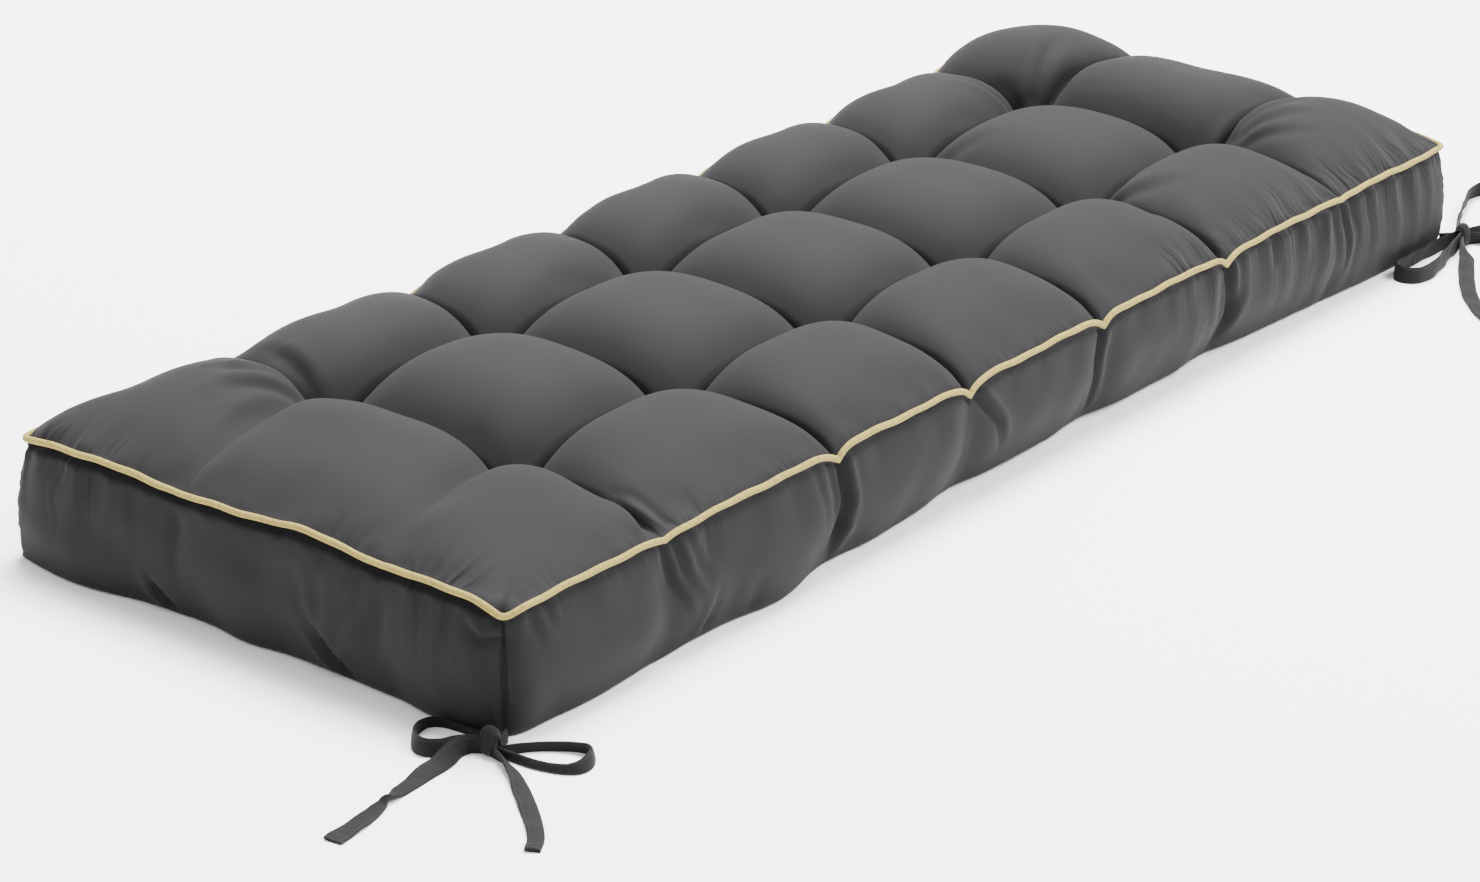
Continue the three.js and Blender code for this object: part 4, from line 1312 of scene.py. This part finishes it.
def mark_gathers(piece):
    """An attribute: place along the seam in metres, strength of gathers, and a painted seam shade mask.

    On the top a point belongs to its nearest seam, and on the boxing to its own station. The
    strength falls as a square over the run, and to nothing where two seams are equally near.
    The third number is 0 on the boxing's four upright seams and 1 from 6 mm away, and where it
    is low the material paints the seam's shade near-black.
    """
    u, v = np.meshgrid(U, V, indexing="ij")
    away = np.stack([v, COLUMNS - u, ROWS - v, u]) * TUFT_PITCH
    nearest = away.argmin(axis=0)
    first, second = np.sort(away, axis=0)[:2]
    i, j = np.meshgrid(np.arange(len(U)), np.arange(len(V)), indexing="ij")
    steps = np.choose(nearest, [i, j, len(U) - 1 - i, len(V) - 1 - j])
    station = (SIDE_STARTS[nearest] + steps) % len(seam_strength)
    run = gather_run(MARK["run"], seam_strength)
    strength = fade(first, run[station]) * np.clip((second - first) / MARK["shared"], 0, 1)
    on_top = [walked_seam[station] * MM, strength * seam_strength[station], np.ones(u.shape)]
    below = fade(SEAM_HEIGHT * T[1:, None], 2 * run - MARK["boxing_less"] * MARK["run"])
    down = MARK["boxing_share"] * below * seam_strength[None]
    # The corner seams' mark, which places the painted seam shade
    seam = np.clip(to_corner / CORNER_SEAM["mark"], 0, 1)
    on_boxing = np.broadcast_arrays(walked_seam[None, :-1] * MM, down, seam[None])
    marks = np.tile([0.0, 0.0, 1.0], (len(piece.data.vertices), 1))
    marks[:u.size] = np.stack(on_top, -1).reshape(-1, 3)
    marks[u.size:u.size + down.size] = np.stack(on_boxing, -1).reshape(-1, 3)
    layer = piece.data.attributes.new("gather", "FLOAT_VECTOR", "POINT")
    layer.data.foreach_set("vector", marks.astype(np.float32).ravel())


# %% Build the cushion
cushion = build_cushion("cushion_cover", top, boxing, bottom)
mark_gathers(cushion)
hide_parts("cushion")
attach(cushion, "root")
print("cover:", len(cushion.data.polygons), "faces")

# %% [markdown]
# ## Piping
# Real piping is a cord inside a strip of cloth cut on the bias, caught in the seam with its
# round edge showing. It is a tube along the top seam, a little uneven where hand and machine
# pulled it, and its ends meet at the first notch of the front.

# %% The piping's line
PIPING = {"radius": 2.5, "out": 0.8, "up": 0.62, "sunk": 0.5, "sides": 14}
PIPING_UNEVEN = {"radius": 0.07, "waves": (9, 23, 41, 87), "drift": 1.1, "shift": 7}
# Round each corner the cord is stiff, so its line is smoothed there
PIPING_CORNER = {"run": 22, "rounds": 12}
# Where the two ends of the piping meet and are tucked into the seam
PIPING_JOIN = {"x": -474, "narrower": 0.45, "run": 4, "sunk": 1.2}


def round_corners(centre, seam):
    """Moves each point near a corner half way to the middle of its neighbours, round by round."""
    from_corner = np.abs(np.abs(seam[:, :2]) - np.abs(seam[:, :2]).max(axis=0)).sum(axis=1)
    near_corner = np.clip(1 - from_corner / PIPING_CORNER["run"], 0, 1)[:, None]
    for _ in range(PIPING_CORNER["rounds"]):
        between = (np.roll(centre, 1, axis=0) + np.roll(centre, -1, axis=0)) / 2
        centre = centre + (between - centre) * near_corner / 2
    return centre


def piping_line(seam, out, walked):
    """Middle and radius of the cord beside the seam; both drift by a sum of four slow sines."""
    turn = walked[:-1] / walked[-1] * 2 * math.pi
    drift = sum(np.sin(turn * count + count) for count in PIPING_UNEVEN["waves"]) / 3
    to_join = np.hypot(seam[:, 0] - PIPING_JOIN["x"], seam[:, 1] - seam[0, 1])
    join = bell(to_join, PIPING_JOIN["run"])
    offset = np.column_stack([unit(out) * PIPING["out"], np.full(len(out), PIPING["up"])])
    centre = seam + offset * (PIPING["radius"] - PIPING["sunk"])
    centre[:, 2] += PIPING_UNEVEN["drift"] * drift
    centre[:, :2] -= out * (PIPING_JOIN["sunk"] * join)[:, None]
    radius = PIPING["radius"] * (1 + PIPING_UNEVEN["radius"] * np.roll(drift, PIPING_UNEVEN["shift"]))
    return round_corners(centre, seam), radius * (1 - PIPING_JOIN["narrower"] * join)


# %% The piping as a tube
def piping_surface(seam, out, walked):
    """Rings round the cord's line, each at right angles to the line there."""
    centre, radius = piping_line(seam, out, walked)
    tangent = unit(np.roll(centre, -1, axis=0) - np.roll(centre, 1, axis=0))
    side = unit(np.cross(tangent, [0, 0, 1]))
    up = np.cross(side, tangent)
    angle = np.arange(PIPING["sides"]) / PIPING["sides"] * 2 * math.pi
    ring = np.cos(angle)[None, :, None] * side[:, None] + np.sin(angle)[None, :, None] * up[:, None]
    return centre[:, None] + ring * radius[:, None, None], angle


def build_piping():
    """A closed ring of rings, with its UV map along and round the cord."""
    rings, angle = piping_surface(top_seam, STATIONS["out"], walked_seam)
    count, sides = rings.shape[:2]
    index = np.arange(count * sides).reshape(count, sides)
    index = np.vstack([index, index[:1]])
    index = np.hstack([index, index[:, :1]])
    around = np.append(angle, 2 * math.pi) * PIPING["radius"]
    place = np.stack(np.broadcast_arrays(walked_seam[:, None], around[None]), -1)
    corner_uv = np.stack([place[:-1, :-1], place[1:, :-1], place[1:, 1:], place[:-1, 1:]], -2)
    quads = grid_quads(index)[:, ::-1]
    corner_uv = corner_uv[:, :, ::-1].reshape(-1, 2) * MM
    return make_piece("piping_cord", rings.reshape(-1, 3), [quads], corner_uv)


piping = build_piping()
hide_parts("piping")
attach(piping, "root")
print("piping, in metres:", round(walked_seam[-1] * MM, 2))

# %% [markdown]
# ## Finishes
# All three cloths are woven and matt. Real threads of this cloth are about 0.35 mm apart,
# which no picture of the whole cushion can show, so the weave is drawn at 0.9 mm: just fine
# enough to vanish from a step away, and coarse enough to be seen close up.

# %% Patterns of woven cloth
WEAVE_PITCH = 0.0009
WAVE_BAND = 2 * math.pi / 20
# Blender's own names of the kinds of node that are used most. A Mix node has one input for its
# factor, and sockets for each type of data, so its two colours are inputs 6 and 7 and output 2.
MATH, NOISE, MIX, BUMP = "ShaderNodeMath", "ShaderNodeTexNoise", "ShaderNodeMix", "ShaderNodeBump"


def cloth_place(tree, turn=0.0):
    """The piece's place on its cloth, in metres, turned by an angle in degrees."""
    uv = add_node(tree, "ShaderNodeUVMap", uv_map="cloth")
    return add_node(tree, "ShaderNodeMapping", {"Vector": uv, "Rotation": (0, 0, math.radians(turn))})


def weave_height(tree, place):
    """Warp and weft: two sine bands at right angles, multiplied, so that crossings stand up."""
    band = {"Vector": place, "Scale": WAVE_BAND / WEAVE_PITCH, "Distortion": 0.6}
    warp, weft = (
        add_node(tree, "ShaderNodeTexWave", band, wave_type="BANDS", bands_direction=direction)
        for direction in ("X", "Y")
    )
    return add_node(tree, MATH, {0: warp.outputs["Fac"], 1: weft.outputs["Fac"]}, operation="MULTIPLY")


def finish_cloth(tree, colour, normal, finish):
    """The shader and the output, with constants on the shader's own sockets."""
    shader = add_node(tree, "ShaderNodeBsdfPrincipled", {
        "Base Color": colour, "Roughness": finish["roughness"], "Specular IOR Level": finish["specular"],
        "Normal": normal, "Sheen Weight": finish["sheen"], "Sheen Roughness": 0.5,
    })
    add_node(tree, "ShaderNodeOutputMaterial", {"Surface": shader})


# %% The cover's cloth
# Woven polyester, the common outdoor cushion cloth. Its yarn is spun from short fibres and
# dyed in the mass, so the grey is even, with only faint streaks where a yarn is thicker, and
# it is matt: the thousands of fibre ends scatter the light, and no thread shines by itself.
POLYESTER = {"roughness": 0.8, "specular": 0.16, "sheen": 0.03, "thread": 0.00012}
# Streaks are 25 mm long and 1 mm across, clouds 70 mm. The shade in a corner seam's groove is painted
# as a near-black line, as wide as a share of the 6 mm that are marked on both sides of it.
COVER = {
    "dark": "#141416", "light": "#19191B", "seam": "#060607", "seam_shade_share": 0.13, "weave_share": 0.35,
    "streaks": (40, 900, 1), "clouds": 14, "wander": 22, "gather_size": 0.009, "gather_depth": 0.0035,
    "gather_wander": 0.03,
}


def gather_height(tree, place, mark):
    """Fine pleats across a seam: noise of the place along it, times the marked strength.

    The place along the seam wanders with the cloth, so that no pleat runs quite straight.
    """
    drift = add_node(tree, NOISE, {"Vector": place, "Scale": COVER["wander"], "Detail": 1})
    shift = {0: drift, 1: COVER["gather_wander"], 2: mark.outputs["X"]}
    along = add_node(tree, MATH, shift, operation="MULTIPLY_ADD")
    pleat = {"W": along, "Scale": 1 / COVER["gather_size"], "Detail": 1}
    pleats = add_node(tree, NOISE, pleat, noise_dimensions="1D")
    return add_node(tree, MATH, {0: pleats, 1: mark.outputs["Y"]}, operation="MULTIPLY")


def woven_polyester(name):
    """Even grey with faint streaks, fine weave and gathers, and painted shade in the corner seams."""
    material, tree = new_material(name)
    place = cloth_place(tree)
    weave = weave_height(tree, place)
    stretched = add_node(tree, "ShaderNodeMapping", {"Vector": place, "Scale": COVER["streaks"]})
    streaks = add_node(tree, NOISE, {"Vector": stretched, "Scale": 1, "Detail": 3})
    clouds = add_node(tree, NOISE, {"Vector": place, "Scale": COVER["clouds"], "Detail": 4})
    mixed = add_node(tree, MATH, {0: streaks, 1: clouds}, operation="MULTIPLY")
    factor = add_node(tree, MATH, {0: weave, 1: COVER["weave_share"], 2: mixed}, operation="MULTIPLY_ADD")
    greys = {0: factor, 6: linear(COVER["dark"]), 7: linear(COVER["light"])}
    ground = add_node(tree, MIX, greys, data_type="RGBA").outputs[2]
    gather = add_node(tree, "ShaderNodeAttribute", attribute_name="gather")
    mark = add_node(tree, "ShaderNodeSeparateXYZ", {"Vector": gather.outputs["Vector"]})
    # Painted shade: beside a corner seam the grey turns near-black, standing in for the dark of its groove
    in_seam_shade = add_node(tree, MATH, {0: mark.outputs["Z"], 1: COVER["seam_shade_share"]}, operation="LESS_THAN")
    seam_shaded = {0: in_seam_shade, 6: ground, 7: linear(COVER["seam"])}
    colour = add_node(tree, MIX, seam_shaded, data_type="RGBA").outputs[2]
    pleats = gather_height(tree, place, mark)
    gathered = add_node(tree, BUMP, {"Height": pleats, "Distance": COVER["gather_depth"], "Strength": 1})
    threads = {"Height": weave, "Distance": POLYESTER["thread"], "Strength": 0.5, "Normal": gathered}
    finish_cloth(tree, colour, add_node(tree, BUMP, threads), POLYESTER)
    return material


# %% The piping's cloth
# A cotton and polyester strip, cut on the bias so that it bends round the cord without
# creasing. Its threads therefore run at 45 degrees to the cord. It is a warm cream, dyed
# lighter than the cover, and its weave is a little coarser.
# Slubs, where a thread is thicker, are 3 mm long.
COTTON = {"roughness": 0.85, "specular": 0.25, "sheen": 0.05, "thread": 0.0002, "slub": 0.0006}
PIPING_CLOTH = {"dark": "#51451A", "light": "#A6944E", "turn": 45, "weave_share": 0.3, "slubs": 320}


def bias_cut_cotton(name):
    """Cream with slightly darker gaps between threads, which run at 45 degrees."""
    material, tree = new_material(name)
    place = cloth_place(tree, PIPING_CLOTH["turn"])
    weave = weave_height(tree, place)
    slubs = add_node(tree, NOISE, {"Vector": place, "Scale": PIPING_CLOTH["slubs"], "Detail": 3})
    share = {0: weave, 1: PIPING_CLOTH["weave_share"], 2: slubs}
    factor = add_node(tree, MATH, share, operation="MULTIPLY_ADD")
    creams = {0: factor, 6: linear(PIPING_CLOTH["dark"]), 7: linear(PIPING_CLOTH["light"])}
    colour = add_node(tree, MIX, creams, data_type="RGBA").outputs[2]
    uneven = add_node(tree, BUMP, {"Height": slubs, "Distance": COTTON["slub"], "Strength": 0.6})
    threads = {"Height": weave, "Distance": COTTON["thread"], "Strength": 0.6, "Normal": uneven}
    finish_cloth(tree, colour, add_node(tree, BUMP, threads), COTTON)
    return material


# %% The tapes' cloth
# The same polyester, folded in three and sewn along one edge with thread of the cover's grey.
# Each stitch is about 3 mm long and pulls a small dent, and the turned end is sewn across.
# Wrinkles are about 8 mm apart.
TAPE_CLOTH = {
    "dark": "#0F0F11", "light": "#141416", "thread": "#202022", "seam_from_middle": 0.0052,
    "hem_from_end": 0.008, "thread_half_width": 0.00045, "stitch": 0.0032, "stitch_share": 0.7,
    "dent": 0.0004, "wrinkles": 130, "wrinkle_depth": 0.0012,
}


def stitch_line(tree, place, middle, along):
    """1 on the stitches of a line: near the place of its middle, and on a share of each length."""
    across = add_node(tree, MATH, {0: place, 1: middle}, operation="SUBTRACT")
    beside = add_node(tree, MATH, {0: across}, operation="ABSOLUTE")
    near = add_node(tree, MATH, {0: beside, 1: TAPE_CLOTH["thread_half_width"]}, operation="LESS_THAN")
    count = add_node(tree, MATH, {0: along, 1: TAPE_CLOTH["stitch"]}, operation="DIVIDE")
    part = add_node(tree, MATH, {0: count}, operation="FRACT")
    in_stitch = add_node(tree, MATH, {0: part, 1: TAPE_CLOTH["stitch_share"]}, operation="LESS_THAN")
    return add_node(tree, MATH, {0: near, 1: in_stitch}, operation="MULTIPLY")


def folded_tape(name):
    """The cover's grey, with a line of stitches along one edge and one across the hem."""
    material, tree = new_material(name)
    place = cloth_place(tree)
    parts = add_node(tree, "ShaderNodeSeparateXYZ", {"Vector": place})
    along, across = parts.outputs["X"], parts.outputs["Y"]
    to_hem = add_node(tree, "ShaderNodeAttribute", attribute_name="to_hem").outputs["Fac"]
    edge_seam = stitch_line(tree, across, TAPE_CLOTH["seam_from_middle"], along)
    hem_seam = stitch_line(tree, to_hem, TAPE_CLOTH["hem_from_end"], across)
    stitches = add_node(tree, MATH, {0: edge_seam, 1: hem_seam}, operation="MAXIMUM")
    weave = weave_height(tree, place)
    greys = {0: weave, 6: linear(TAPE_CLOTH["dark"]), 7: linear(TAPE_CLOTH["light"])}
    ground = add_node(tree, MIX, greys, data_type="RGBA").outputs[2]
    sewn = {0: stitches, 6: ground, 7: linear(TAPE_CLOTH["thread"])}
    colour = add_node(tree, MIX, sewn, data_type="RGBA").outputs[2]
    wrinkles = add_node(tree, NOISE, {"Vector": place, "Scale": TAPE_CLOTH["wrinkles"], "Detail": 3})
    crumple = {"Height": wrinkles, "Distance": TAPE_CLOTH["wrinkle_depth"], "Strength": 0.7}
    crumpled = add_node(tree, BUMP, crumple)
    between = add_node(tree, MATH, {0: 1.0, 1: stitches}, operation="SUBTRACT")
    dents = {"Height": between, "Distance": TAPE_CLOTH["dent"], "Strength": 1, "Normal": crumpled}
    dented = add_node(tree, BUMP, dents)
    threads = {"Height": weave, "Distance": POLYESTER["thread"], "Strength": 0.5, "Normal": dented}
    finish_cloth(tree, colour, add_node(tree, BUMP, threads), POLYESTER)
    return material


# %% Dress the pieces
cushion.data.materials.append(woven_polyester("woven_polyester"))
piping.data.materials.append(bias_cut_cotton("bias_cut_cotton"))
tape_cloth = folded_tape("folded_tape")
for piece in TAPE_PIECES:
    piece.data.materials.append(tape_cloth)
print("materials:", [material.name for material in bpy.data.materials])
